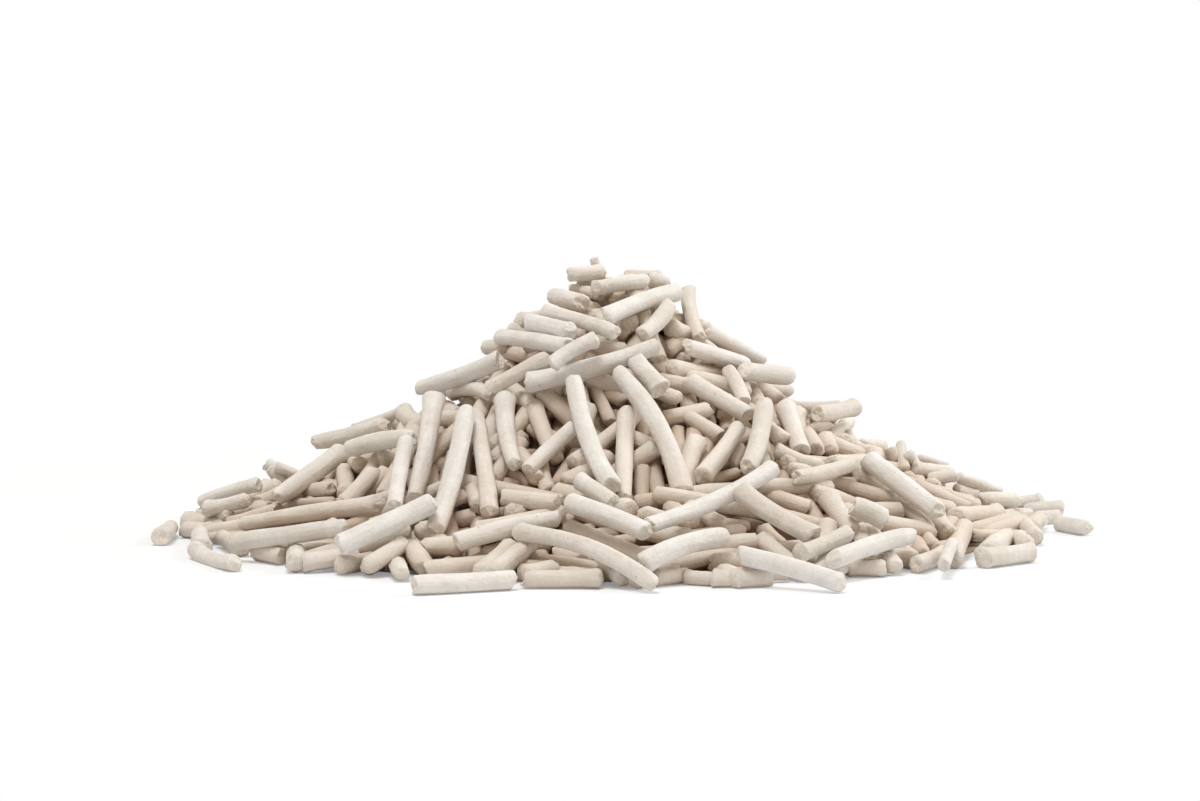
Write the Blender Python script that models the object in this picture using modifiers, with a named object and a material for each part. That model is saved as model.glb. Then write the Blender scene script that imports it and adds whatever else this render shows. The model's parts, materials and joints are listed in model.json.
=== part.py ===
"""A poured heap of rod-shaped cat litter pellets, at its real size, in metres with +Z up.

The heap stands on a flat surface, with its origin on that surface under the middle of the heap.
Its front, at -Y, is laid out pellet by pellet from an elevation of the real heap. Its back is filled
in by rule. The pellets on top are loose, each an object of its own, and the hundreds under them are
fused into one bed, because a pellet in the bed can't be told from its neighbours.
"""

import math
import random

import bmesh
import bpy
import numpy as np
from mathutils import Matrix, Vector

# Sizes of the heap
HEAP_RADIUS = 0.075
HEAP_HEIGHT = 0.0415
FLANK_SHARE = 0.947
FLANK_CURVE = 1.28
CROWN_SHARE = 0.10
CROWN_RADIUS_SHARE = 0.253
COVER_DEPTH = 0.0030
BED_SAG = 0.0014
BED_FOOT_SHARE = 0.89
BED_RINGS = 9
BED_SECTORS = 40

# Sizes of the pellets
PELLET_DIAMETER = 0.0027
SHORTEST_PELLET = 0.007
LONGEST_PELLET = 0.025
BACK_PELLETS = 240
HIGHEST_ABOVE_SURFACE = 0.0007
LOOSE_SIDES = 8
BEDDED_SIDES = 6
END_CHAMFER = 0.0004
RIM_POINTS = 16

# How the pellets meet
CONTACT_GAP = 0.0003
BEDDED_OVERLAP = 0.0003
FLOOR_GAP = 0.00004
TOUCHING = 0.00002

# The elevation of the front is in millimetres, for a heap and pellets of the drawn sizes, as seen
# from this far away and this high up
MM = 0.001
DRAWN_RADIUS = 75.0
DRAWN_HEIGHT = 41.5
DRAWN_THICKNESS = 2.7
EYE_DISTANCE = 0.45
EYE_ELEVATION = math.radians(7.0)
LINE_ABOVE_TABLE = 0.0012

# Each row holds the left and the right end of a pellet (across, up, across, up) and its thickness,
# and a sixth number is how far its middle is bowed up or to the right. Rows run from back to front.
LOOSE_ROWS = {
    "crown": (
        (13.8, 29.7, 22.6, 25.0, 2.3),
        (-3.4, 36.1, 4.3, 37.2, 2.2),
        (11.0, 36.0, 12.9, 28.4, 2.2),
        (-2.0, 31.5, 9.4, 35.6, 2.8, 0.4),
        (-9.6, 34.9, -5.4, 33.9, 2.6),
        (-11.2, 32.3, -0.2, 29.2, 2.4, 0.3),
        (-13.4, 30.9, -7.4, 29.4, 2.6),
        (-18.0, 28.6, -7.4, 27.0, 2.5),
        (3.9, 28.9, 8.2, 33.5, 2.5, -0.4),
    ),
    "shoulder": (
        (-30.6, 20.6, -18.2, 25.0, 2.6, -0.4),
        (-10.0, 24.3, -3.2, 28.2, 2.2, 0.4),
        (-19.4, 20.6, -10.6, 25.5, 2.3),
        (10.9, 27.0, 19.9, 24.1, 2.6),
        (19.8, 23.3, 26.6, 22.4, 2.8),
        (17.3, 23.4, 19.8, 18.4, 2.2),
        (11.2, 21.7, 20.5, 16.4, 2.7),
        (-14.0, 21.4, 6.5, 27.3, 2.9, -0.5),
        (2.8, 24.9, 6.9, 20.4, 2.8),
    ),
    "left": (
        (-42.6, 10.6, -52.6, 3.6, 3.0),
        (-46.9, 12.2, -36.0, 14.9, 2.6, -0.3),
        (-41.0, 11.3, -32.0, 12.9, 2.8),
        (-37.6, 7.4, -42.2, 2.6, 2.6),
        (-58.0, -0.5, -36.8, 2.4, 2.6, 0.3),
        (-28.4, 18.9, -31.4, 3.4, 2.8, 0.3),
        (-32.7, 12.4, -34.4, 2.2, 2.3),
        (-59.6, -3.2, -42.0, -0.9, 2.7),
    ),
    "middle": (
        (1.6, 16.9, 1.3, 3.6, 2.7),
        (-6.8, 14.5, -13.8, 7.9, 2.4),
        (-17.3, 18.8, -15.9, 8.8, 2.7),
        (-21.8, 16.4, -19.6, 1.4, 2.6),
        (-23.3, 17.2, -28.0, -1.2, 3.0),
        (18.8, 14.4, 13.2, 7.0, 2.8),
        (22.9, 18.3, 20.4, 8.4, 2.8, 0.5),
        (-6.7, 22.2, -0.8, 5.4, 2.8),
        (0.4, 22.8, 10.2, 4.5, 3.0, 1.4),
    ),
    "right": (
        (31.0, 16.6, 36.8, 17.6, 2.5),
        (26.2, 17.5, 28.5, 10.9, 2.8),
        (24.6, 11.2, 32.0, 8.6, 2.0, -0.4),
        (27.8, 6.9, 36.6, 9.0, 2.5, -0.4),
        (39.0, 9.4, 49.6, 1.6, 2.9),
        (32.8, 3.6, 36.4, -1.4, 3.0),
        (36.4, 2.4, 41.6, 0.2, 3.0),
    ),
    "front": (
        (-43.0, -3.8, -28.6, 2.8, 3.2),
        (-5.8, 6.2, -0.6, 2.8, 2.8),
        (-17.6, 3.6, -9.2, 2.6, 2.8),
        (5.0, -0.6, 24.2, 8.2, 2.6),
        (-7.6, 3.0, 4.6, -1.6, 2.9),
        (18.9, 4.8, 30.6, -2.2, 3.0),
        (-24.8, -3.3, -9.0, 0.5, 2.8),
        (4.0, -6.6, 16.4, -2.4, 3.0),
        (28.4, -5.0, 35.6, -2.0, 2.6),
        (33.4, -6.0, 45.2, -2.2, 2.8),
    ),
    "foot": (
        (-31.5, -9.2, -16.0, -7.6, 3.1),
        (-15.0, -1.8, 5.8, -9.4, 2.6, 1.5),
        (19.0, -5.2, 34.8, -8.6, 2.9),
        (-65.4, -3.9, -59.2, -6.0, 2.7),
        (56.6, -4.4, 64.2, -4.0, 3.0),
        (69.6, -0.2, 74.0, -1.0, 2.4),
        (-71.8, -0.9, -73.6, -2.5, 2.6),
    ),
}

BEDDED_ROWS = (
    # Crown, from the bottom up
    (-17.0, 26.5, -11.0, 25.0, 2.6),
    (-20.2, 27.0, -17.8, 27.1, 2.2),
    (-1.6, 27.0, 0.2, 27.6, 2.1),
    (-7.3, 29.2, -5.2, 28.6, 2.2),
    (0.4, 29.9, 1.8, 28.6, 2.4),
    (-18.6, 30.3, -16.0, 30.0, 2.0),
    (7.6, 30.6, 11.2, 31.2, 2.4),
    (-16.6, 31.4, -14.0, 31.0, 2.6),
    (14.3, 33.7, 14.4, 30.6, 1.6),
    (-6.6, 34.4, -3.7, 32.5, 2.4),
    (-15.3, 34.2, -11.2, 34.6, 2.4),
    (-0.8, 34.3, 0.9, 35.1, 2.2),
    (3.0, 35.8, 7.6, 35.9, 1.8),
    (-7.0, 36.6, -3.0, 35.7, 1.8),
    (4.8, 37.6, 7.8, 37.0, 2.2),
    (-5.8, 37.2, -0.5, 37.4, 2.2),
    (1.6, 38.4, 6.6, 38.4, 2.0),
    (-7.6, 38.2, -2.2, 38.6, 2.4),
    (-1.6, 38.0, 0.8, 39.2, 2.2),
    (-3.6, 41.0, -2.8, 38.0, 1.3),
    # Shoulder
    (-28.0, 20.2, -17.4, 23.6, 2.2),
    (14.2, 27.4, 19.8, 25.4, 1.6),
    (7.6, 26.4, 9.8, 28.0, 2.6),
    (9.6, 25.0, 10.9, 24.9, 2.3),
    (6.2, 24.7, 8.7, 22.6, 2.7),
    (12.2, 24.5, 14.3, 23.4, 2.3),
    (20.6, 20.4, 20.8, 18.6, 1.9),
    (23.4, 20.4, 26.4, 20.2, 2.0),
    (24.8, 17.4, 24.6, 14.0, 2.2),
    # Middle
    (-4.0, 21.4, -1.0, 15.2, 2.0),
    (-1.8, 19.6, 1.2, 18.6, 2.2),
    (3.8, 15.2, 4.3, 12.2, 2.0),
    (4.2, 9.6, 4.2, 8.8, 2.0),
    (4.0, 8.0, 4.0, 3.0, 2.2),
    (6.0, 12.5, 6.8, 3.5, 2.6),
    (8.8, 19.6, 8.0, 17.6, 2.2),
    (10.8, 19.6, 11.8, 15.4, 2.8),
    (12.0, 14.2, 11.9, 11.7, 2.7),
    (14.2, 16.6, 14.3, 12.6, 2.4),
    (9.4, 14.2, 9.8, 8.5, 2.3),
    (14.3, 12.8, 12.8, 7.0, 2.2),
    (16.8, 16.2, 17.2, 13.6, 2.4),
    (19.0, 11.4, 17.6, 8.6, 2.2),
    (-13.2, 18.6, -14.0, 16.6, 2.8),
    (-11.0, 17.6, -9.9, 16.4, 2.6),
    (-13.4, 14.4, -7.0, 11.4, 2.6),
    (-9.2, 18.3, -5.4, 16.6, 2.4),
    (-13.4, 19.4, -8.6, 20.0, 2.6),
    (-23.0, 18.6, -19.8, 15.6, 2.4),
    (-25.4, 19.9, -19.8, 19.6, 2.2),
    (-20.0, 13.8, -19.4, 12.6, 2.6),
    (-15.2, 11.6, -14.2, 9.6, 2.0),
    (-8.8, 11.2, -10.4, 9.6, 2.0),
    (-5.8, 10.6, -9.4, 5.2, 2.6),
    (-4.4, 11.6, -3.2, 8.2, 2.0),
    (-11.6, 9.6, -10.4, 4.2, 2.4),
    (-19.4, 8.4, -13.0, 5.6, 2.4),
    (-20.0, 6.2, -15.4, 5.0, 2.4),
    (-7.6, 20.2, -7.2, 19.2, 1.8),
    # Left flank
    (-34.6, 15.4, -32.0, 14.6, 2.2),
    (-33.0, 16.9, -30.6, 15.2, 2.6),
    (-31.2, 18.6, -30.2, 17.0, 2.2),
    (-27.6, 18.2, -27.5, 16.8, 1.8),
    (-27.6, 11.4, -27.2, 8.0, 2.2),
    (-27.6, 14.8, -26.4, 13.2, 2.6),
    (-26.0, 17.4, -25.2, 15.8, 2.2),
    (-29.2, 19.0, -24.8, 16.6, 2.2),
    (-41.0, 14.2, -33.4, 17.0, 1.6),
    (-28.8, 8.0, -28.0, 4.5, 2.0),
    (-35.0, 8.2, -35.0, 7.0, 2.0),
    (-42.4, 8.2, -42.7, 7.6, 2.8),
    (-35.6, 9.9, -35.8, 9.3, 2.6),
    (-39.2, 9.4, -37.6, 7.6, 2.2),
    (-36.2, 6.0, -39.2, 3.8, 2.6),
    (-47.4, 5.0, -42.4, 4.6, 2.6),
    (-56.2, 3.6, -52.4, 5.2, 2.8),
    (-54.4, 9.0, -50.8, 6.8, 1.9),
    (-51.4, 9.2, -48.6, 8.7, 1.6),
    (-53.8, 8.2, -51.0, 5.6, 2.0),
    (-52.8, 8.4, -49.6, 7.2, 1.6),
    (-47.6, 3.6, -46.6, 2.4, 1.6),
    (-41.8, 5.2, -40.4, 5.6, 1.7),
    (-54.6, 1.9, -44.0, 3.0, 1.6),
    (-64.4, 2.9, -55.4, 5.6, 2.0),
    (-64.4, 1.0, -60.0, 0.8, 1.8),
    (-63.6, 2.0, -57.6, 3.2, 2.2),
    (-59.4, 1.2, -53.8, 2.4, 1.6),
    (-70.4, -1.5, -58.6, -0.9, 1.9),
    (-61.4, -3.8, -57.4, -5.6, 2.4),
    (-66.0, -2.8, -60.4, -2.6, 1.8),
    (-68.5, -1.8, -68.3, -4.3, 2.7),
    # Front
    (-40.6, -5.4, -37.4, -4.4, 2.4),
    (-35.4, -4.0, -31.6, -0.6, 2.0),
    (-33.0, 0.0, -29.0, 1.6, 2.4),
    (-24.6, 0.2, -21.4, 0.8, 2.6),
    (-24.8, 2.9, -21.6, 3.4, 2.0),
    (-21.6, -1.0, -17.6, -0.6, 2.0),
    (-18.0, 1.1, -14.8, 0.9, 2.2),
    (-16.6, -6.8, -9.6, -7.0, 1.8),
    (-9.0, -0.6, -5.8, 0.6, 2.4),
    (-13.6, 0.0, -9.2, 1.2, 2.4),
    (-4.8, -1.4, -3.4, -1.2, 1.8),
    (-3.6, -2.2, 0.2, -1.8, 2.2),
    (-1.4, -3.4, 3.0, -2.8, 2.0),
    (11.6, 5.6, 18.8, 7.6, 1.8),
    (7.8, -1.8, 12.6, -1.8, 2.2),
    (0.6, -5.0, 7.0, -4.6, 1.8),
    (17.6, -3.2, 22.4, -3.4, 1.8),
    (16.4, -7.6, 19.4, -7.8, 1.4),
    (0.6, 4.8, 2.8, 1.0, 2.2),
    (15.0, 1.6, 21.6, 1.4, 2.3),
    (12.2, -0.5, 20.4, -0.9, 2.1),
    (22.6, -1.4, 25.6, -4.0, 3.0),
    (8.0, -7.2, 19.0, -5.2, 2.3),
    (-9.6, -5.2, -5.4, -6.0, 2.3),
    (-20.4, -5.2, -10.6, -3.2, 2.6),
    (-26.4, 1.2, -25.4, -4.6, 2.8),
    (-33.6, -5.4, -29.8, -1.2, 2.5),
    (-46.4, -3.1, -41.8, -2.9, 1.6),
    (-51.0, -4.9, -41.4, -5.3, 2.7),
    (-51.7, -5.2, -51.7, -6.8, 3.0),
    (-40.6, -7.0, -42.4, -7.9, 2.6),
    (-38.6, -7.0, -33.0, -3.4, 2.6),
    (-17.6, -9.3, -10.6, -9.4, 2.6),
    (-9.4, -7.9, -1.0, -8.4, 2.2),
    (-9.8, -9.9, -3.0, -10.1, 2.7),
    (18.0, -8.4, 26.4, -8.2, 1.8),
    (6.4, -9.6, 11.6, -9.0, 2.3),
    (11.6, -9.3, 16.4, -9.6, 2.2),
    (16.8, -9.9, 20.6, -9.9, 2.6),
    (21.2, -10.2, 26.8, -9.9, 2.8),
    # Right flank
    (29.0, 17.8, 29.3, 16.2, 1.7),
    (28.8, 19.8, 34.0, 19.8, 1.6),
    (26.4, 19.1, 34.6, 19.1, 1.9),
    (30.6, 13.4, 33.4, 14.0, 2.6),
    (32.4, 11.6, 36.0, 15.4, 2.2),
    (35.8, 13.5, 37.8, 11.2, 1.4),
    (36.8, 13.8, 39.8, 12.9, 1.3),
    (38.0, 11.6, 41.0, 11.4, 2.2),
    (42.2, 11.4, 43.0, 9.4, 1.8),
    (44.0, 12.0, 44.6, 8.0, 1.6),
    (45.2, 10.6, 46.6, 8.2, 1.6),
    (46.6, 9.8, 51.0, 8.4, 1.4),
    (23.4, 11.4, 22.8, 8.6, 2.2),
    (24.8, 13.2, 26.4, 12.2, 1.8),
    (30.3, 11.4, 33.0, 10.2, 1.7),
    (33.4, 11.9, 37.6, 10.0, 2.6),
    (26.0, 8.2, 25.2, 3.6, 2.6),
    (23.4, 6.6, 22.8, 3.8, 1.8),
    (27.4, 2.6, 32.8, 5.2, 2.4),
    (33.6, 5.9, 39.4, 5.2, 2.4),
    (29.2, 2.6, 31.2, -0.6, 2.8),
    (38.6, 4.2, 46.4, -0.4, 2.4),
    (44.8, 2.2, 48.2, -0.9, 2.2),
    (41.4, 7.6, 43.5, 3.6, 2.2),
    (38.6, -1.2, 42.8, -0.4, 2.0),
    (41.4, -5.2, 48.4, -6.4, 2.6),
    (47.4, -2.2, 49.0, -4.0, 2.6),
    (50.4, -2.0, 52.0, -0.2, 2.6),
    (45.8, 8.2, 51.5, 7.4, 2.2),
    (48.4, 6.4, 52.4, 7.2, 2.0),
    (52.4, 6.4, 56.2, 5.4, 2.5),
    (56.0, 3.2, 61.6, 3.2, 2.6),
    (48.6, 4.4, 54.6, 2.9, 2.4),
    (61.8, 3.8, 65.8, 4.2, 2.0),
    (63.0, 1.4, 69.0, 2.0, 2.4),
    (52.4, 0.8, 58.8, 1.2, 2.7),
    (56.6, -1.6, 64.0, 0.2, 2.6),
    (52.9, -5.8, 54.8, -0.8, 2.9),
    (38.4, 14.0, 40.8, 12.8, 1.4),
    (53.0, 7.4, 59.4, 5.0, 1.8),
    (57.2, -2.2, 65.8, -2.6, 2.2),
    (64.8, 0.6, 68.4, 1.0, 1.8),
    (68.0, -1.0, 69.8, -2.6, 2.6),
    (52.0, -3.2, 50.6, -6.8, 1.8),
    (38.2, -6.4, 39.6, -7.4, 2.9),
    (42.0, -8.5, 47.6, -8.4, 2.5),
)

SHADES = (
    ("pale", (0.80, 0.75, 0.68)),
    ("cream", (0.75, 0.69, 0.60)),
    ("tan", (0.69, 0.62, 0.53)),
)
ROUGHNESS = 0.9


def surface_height(radius):
    """Height of the heap's outer surface above the table, at a distance from its middle."""
    share = np.clip(1.0 - np.asarray(radius) / HEAP_RADIUS, 0.0, 1.0)
    flank = FLANK_SHARE * share**FLANK_CURVE
    crown = CROWN_SHARE * np.exp(-((np.asarray(radius) / (CROWN_RADIUS_SHARE * HEAP_RADIUS)) ** 4))
    return HEAP_HEIGHT * np.minimum(flank + crown, 1.0)


def bed_profile():
    """The bed's outline as (distance from the middle, height), from the top down to the table."""
    foot = HEAP_RADIUS * BED_FOOT_SHARE
    points = []
    for ring in range(BED_RINGS + 1):
        radius = foot * (ring / BED_RINGS)
        outer = float(surface_height(radius))
        step = 0.01 * HEAP_RADIUS
        fall = (outer - float(surface_height(radius + step))) / step
        depth = COVER_DEPTH + BED_SAG * math.sin(math.pi * ring / BED_RINGS)
        height = outer - depth * math.hypot(1.0, fall)
        points.append((radius, max(height, 0.4 * PELLET_DIAMETER)))
    points.append((foot, 0.0))
    return points


class Sight:
    """Turns a place in the front elevation into the line of sight that passes through it."""

    def __init__(self):
        forward = np.array((0.0, math.cos(EYE_ELEVATION), -math.sin(EYE_ELEVATION)))
        self.up = np.array((0.0, math.sin(EYE_ELEVATION), math.cos(EYE_ELEVATION)))
        self.eye = -EYE_DISTANCE * forward

    def line(self, across, up):
        """Unit vector from the eye through a place in the elevation, in millimetres."""
        seen = np.array((across * MM, 0.0, 0.0)) + self.up * (up * MM + LINE_ABOVE_TABLE)
        way = seen - self.eye
        return way / np.linalg.norm(way)


def lines_apart(start, end, starts, ends):
    """Distances from the segment start-end to each of the segments starts-ends, and which of them
    are nearest to it between their own ends and its ends."""
    along, others = end - start, ends - starts
    offset = start - starts
    a = along @ along
    e = np.maximum(np.einsum("ij,ij->i", others, others), 1e-18)
    f = np.einsum("ij,ij->i", others, offset)
    c = offset @ along
    b = others @ along
    cross = a * e - b * b
    s = np.where(cross > 1e-18, np.clip((b * f - c * e) / np.maximum(cross, 1e-18), 0.0, 1.0), 0.0)
    t = (b * s + f) / e
    s = np.where(t < 0.0, np.clip(-c / a, 0.0, 1.0), np.where(t > 1.0, np.clip((b - c) / a, 0.0, 1.0), s))
    t = np.clip(t, 0.0, 1.0)
    between = (start + s[:, None] * along) - (starts + t[:, None] * others)
    crossing = (s > 0.0) & (s < 1.0) & (t > 0.0) & (t < 1.0)
    return np.sqrt(np.einsum("ij,ij->i", between, between)), crossing


def rim_points(start, end, radius, stations=2):
    """Points around a rod, on circles spread evenly from its start to its end."""
    along = (end - start) / np.linalg.norm(end - start)
    side = np.cross(along, (0.0, 0.0, 1.0) if abs(along[2]) < 0.9 else (1.0, 0.0, 0.0))
    side /= np.linalg.norm(side)
    across = np.cross(along, side)
    turn = np.linspace(0.0, 2.0 * math.pi, RIM_POINTS, endpoint=False)
    circle = radius * (np.cos(turn)[:, None] * side + np.sin(turn)[:, None] * across)
    places = start + np.linspace(0.0, 1.0, stations)[:, None] * (end - start)
    return (places[:, None, :] + circle).reshape(-1, 3)


def outside_rods(points, starts, ends, radii):
    """Least distance of the points from each flat-ended rod, below zero inside it."""
    along = ends - starts
    lengths = np.linalg.norm(along, axis=-1, keepdims=True)
    along = along / lengths
    offset = points - starts
    height = (offset * along).sum(-1)
    away = np.linalg.norm(offset - height[..., None] * along, axis=-1) - radii
    beyond = np.maximum(-height, height - lengths[..., 0])
    inside = np.minimum(np.maximum(away, beyond), 0.0)
    return (np.hypot(np.maximum(away, 0.0), np.maximum(beyond, 0.0)) + inside).min(axis=-1)


class Rods:
    """Straight, flat-ended rods that have been laid, for measuring how far a new one is from them."""

    def __init__(self):
        self.starts, self.ends = np.empty((0, 3)), np.empty((0, 3))
        self.radii, self.rims = np.empty(0), np.empty((0, 2 * RIM_POINTS, 3))

    def add(self, start, end, radius):
        self.starts = np.vstack((self.starts, start))
        self.ends = np.vstack((self.ends, end))
        self.radii = np.append(self.radii, radius)
        self.rims = np.concatenate((self.rims, rim_points(start, end, radius)[None]))

    def apart(self, start, end, radius, flat_ends):
        """Distance from a new rod to the nearest of these, whose ends are flat or rounded."""
        if not len(self.radii):
            return math.inf
        gaps, crossing = lines_apart(start, end, self.starts, self.ends)
        gaps = gaps - self.radii - radius
        if not flat_ends:
            return float(gaps.min())
        near = gaps < PELLET_DIAMETER
        if not near.any():
            return float(gaps.min())
        new_rims = rim_points(start, end, radius)
        to_old = outside_rods(
            new_rims[None], self.starts[near][:, None], self.ends[near][:, None], self.radii[near][:, None]
        )
        to_new = outside_rods(self.rims[near], start[None, None], end[None, None], radius)
        least = np.minimum(to_old, to_new)
        least = np.where(crossing[near], np.minimum(least, gaps[near]), least)
        return float(least.min())


class Pellet:
    """A pellet as its two ends, the bow of its middle and its radius."""

    def __init__(self, ends, radius, bow=0.0):
        self.ends = np.array(ends, float)
        self.radius = radius
        self.bow = bow

    def length(self):
        return float(np.linalg.norm(self.ends[1] - self.ends[0]))

    def middle(self):
        along = self.ends[1] - self.ends[0]
        sideways = np.array((-along[2], 0.0, along[0]))
        length = np.linalg.norm(sideways)
        if self.bow == 0.0 or length < 1e-9:
            return self.ends.mean(axis=0)
        if sideways[2] + 0.5 * sideways[0] < 0.0:
            sideways = -sideways
        return self.ends.mean(axis=0) + sideways / length * self.bow

    def halves(self):
        """The segments that its middle line is made of: one when straight, two when bowed."""
        if self.bow == 0.0:
            return [(self.ends[0], self.ends[1])]
        middle = self.middle()
        return [(self.ends[0], middle), (middle, self.ends[1])]

    def cores(self):
        """The same segments without the last radius at each end, where its end face cuts it off."""
        for start, end in self.halves():
            along = end - start
            length = np.linalg.norm(along)
            trim = along / length * min(self.radius, 0.49 * length)
            yield start + trim, end - trim


class Heap:
    """The pellets laid so far, and the room that they leave for the next one."""

    def __init__(self):
        self.profile = np.array(bed_profile())
        self.outer = Rods()
        self.inner = Rods()

    def add(self, pellet, reach):
        """Lays a pellet for good. Its reach is its radius out to the corners of its sides."""
        for start, end in pellet.halves():
            self.outer.add(start, end, reach)
        for start, end in pellet.cores():
            self.inner.add(start, end, pellet.radius)

    def above_bed(self, points):
        """Distance of each point from the bed, below zero inside it."""
        flat = np.stack((np.hypot(points[:, 0], points[:, 1]), points[:, 2]), axis=1)
        starts, ends = self.profile[:-1], self.profile[1:]
        along = ends - starts
        offset = flat[:, None, :] - starts[None]
        share = np.clip((offset * along).sum(-1) / (along**2).sum(-1), 0.0, 1.0)
        away = offset - share[..., None] * along
        distance = np.sqrt((away**2).sum(-1)).min(axis=1)
        height = np.interp(flat[:, 0], self.profile[:, 0], self.profile[:, 1], right=-1.0)
        return np.where(flat[:, 1] < height, -distance, distance)

    def room(self, pellet, loose, on_floor=False):
        """How much farther than it must the pellet is from everything, below zero where it is too near."""
        least = math.inf
        if loose:
            for start, end in pellet.halves():
                least = min(least, self.outer.apart(start, end, pellet.radius, flat_ends=True))
                around = rim_points(start, end, pellet.radius, stations=5)
                least = min(least, float(self.above_bed(around).min()))
            least -= CONTACT_GAP
        else:
            for start, end in pellet.cores():
                apart = self.inner.apart(start, end, pellet.radius, flat_ends=False)
                samples = start + np.linspace(0.0, 1.0, 7)[:, None] * (end - start)
                sunk = float(self.above_bed(samples).min()) + 0.4 * pellet.radius
                least = min(least, apart + BEDDED_OVERLAP, sunk)
        if not on_floor:
            lowest = min(pellet.ends[0][2], pellet.ends[1][2]) - pellet.radius
            least = min(least, lowest - FLOOR_GAP)
        return least

    def push_out(self, pellet, ways, loose):
        """Moves the pellet along its two ways until it is clear of everything."""
        for _ in range(400):
            room = self.room(pellet, loose)
            if room >= 0.0:
                return
            pellet.ends += ways * max(-room, TOUCHING)

    def pull_in(self, pellet, ways, loose, limit, on_floor=False):
        """Moves the pellet back against its ways until it touches something. Where there is nothing
        to touch within the limit, it stays where it was."""
        before, moved = pellet.ends.copy(), 0.0
        while moved < limit:
            step = min(self.room(pellet, loose, on_floor), limit - moved)
            if step < TOUCHING:
                return
            pellet.ends -= ways * step
            moved += step
        pellet.ends = before

    def settle(self, pellet, ways, loose):
        """Lays the pellet against the heap: out until it is clear, in until it touches, then down."""
        self.push_out(pellet, ways, loose)
        self.pull_in(pellet, ways, loose, 4.0 * PELLET_DIAMETER)
        for end in (0, 1, 0, 1):
            one_end = np.zeros((2, 3))
            one_end[end] = ways[end]
            limit = min(2.0 * PELLET_DIAMETER, LONGEST_PELLET - pellet.length())
            self.pull_in(pellet, one_end, loose, limit)
        down = np.array(((0.0, 0.0, 1.0), (0.0, 0.0, 1.0)))
        self.pull_in(pellet, down, loose, HEAP_HEIGHT)
        outward = pellet.ends.mean(axis=0) * (1.0, 1.0, 0.0)
        outward /= max(np.linalg.norm(outward), 1e-9)
        self.pull_in(pellet, np.array((outward, outward)), loose, HEAP_RADIUS, on_floor=True)


def meeting_point(sight, way, depth, radius):
    """Where a line of sight meets the heap's surface lowered by depth, or passes it most nearly."""
    reach = np.linspace(EYE_DISTANCE - 1.3 * HEAP_RADIUS, EYE_DISTANCE + 0.2 * HEAP_RADIUS, 500)
    points = sight.eye + reach[:, None] * way
    ground = surface_height(np.hypot(points[:, 0], points[:, 1])) - depth
    above = points[:, 2] - np.maximum(ground, radius)
    met = np.nonzero(above <= 0.0)[0]
    return points[met[0] if len(met) else int(np.argmin(above))]


def place_on_heap(row):
    """A row's two ends, with the row's middle moved to where it belongs on a heap of this size."""
    ends = np.array((row[0:2], row[2:4]))
    middle = ends.mean(axis=0)
    wide = HEAP_RADIUS / (DRAWN_RADIUS * MM)
    high = HEAP_HEIGHT / (DRAWN_HEIGHT * MM) if middle[1] > 0.0 else wide
    return ends + middle * (wide - 1.0, high - 1.0)


def pellet_from_row(sight, row, depth):
    """The pellet that a row of the elevation shows, on the heap's surface, and its ends' ways out."""
    bow = row[5] * MM if len(row) > 5 else 0.0
    radius = 0.5 * PELLET_DIAMETER * row[4] / DRAWN_THICKNESS
    lines = np.array([sight.line(*place) for place in place_on_heap(row)])
    ends = np.array([meeting_point(sight, line, depth, radius) for line in lines])
    near, far = sorted((0, 1), key=lambda end: np.linalg.norm(ends[end] - sight.eye))
    while np.linalg.norm(ends[far] - ends[near]) > LONGEST_PELLET:
        if np.linalg.norm(ends[far] - sight.eye) < np.linalg.norm(ends[near] - sight.eye):
            break
        ends[far] -= lines[far] * TOUCHING
    nearness = np.linalg.norm(ends.mean(axis=0) - sight.eye) / EYE_DISTANCE
    return Pellet(ends, radius * nearness, bow), -lines


def back_pellets():
    """Pellets for the back of the heap, spread evenly over it like the seeds of a sunflower."""
    chance = random.Random(5)
    golden = math.pi * (3.0 - math.sqrt(5.0))
    for index in range(2 * BACK_PELLETS):
        radius = HEAP_RADIUS * 0.9 * math.sqrt((index + 0.5) / (2 * BACK_PELLETS))
        azimuth = index * golden
        centre = np.array((radius * math.cos(azimuth), radius * math.sin(azimuth)))
        length = chance.triangular(SHORTEST_PELLET, LONGEST_PELLET, 1.2 * SHORTEST_PELLET)
        heading = chance.uniform(0.0, math.pi)
        thickness = chance.uniform(0.88, 1.05)
        if centre[1] < 0.12 * HEAP_RADIUS:
            continue
        half = 0.5 * length * np.array((math.cos(heading), math.sin(heading)))
        ends = []
        for place in (centre - half, centre + half):
            height = float(surface_height(np.hypot(*place))) - COVER_DEPTH
            ends.append((*place, max(height, 0.5 * PELLET_DIAMETER)))
        outward = np.array((centre[0], centre[1], 0.0)) / max(radius, 1e-9)
        way = outward + np.array((0.0, 0.0, 1.2))
        way /= np.linalg.norm(way)
        yield Pellet(ends, 0.5 * PELLET_DIAMETER * thickness), np.array((way, way))


def stands_out(pellet):
    """Whether a pellet rises above the heap's surface and above a pellet that lies on the table."""
    places = np.array((*pellet.ends, pellet.ends.mean(axis=0)))
    surface = surface_height(np.hypot(places[:, 0], places[:, 1]))
    allowed = np.maximum(surface, PELLET_DIAMETER) + HIGHEST_ABOVE_SURFACE
    return bool((places[:, 2] + pellet.radius > allowed).any())


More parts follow.
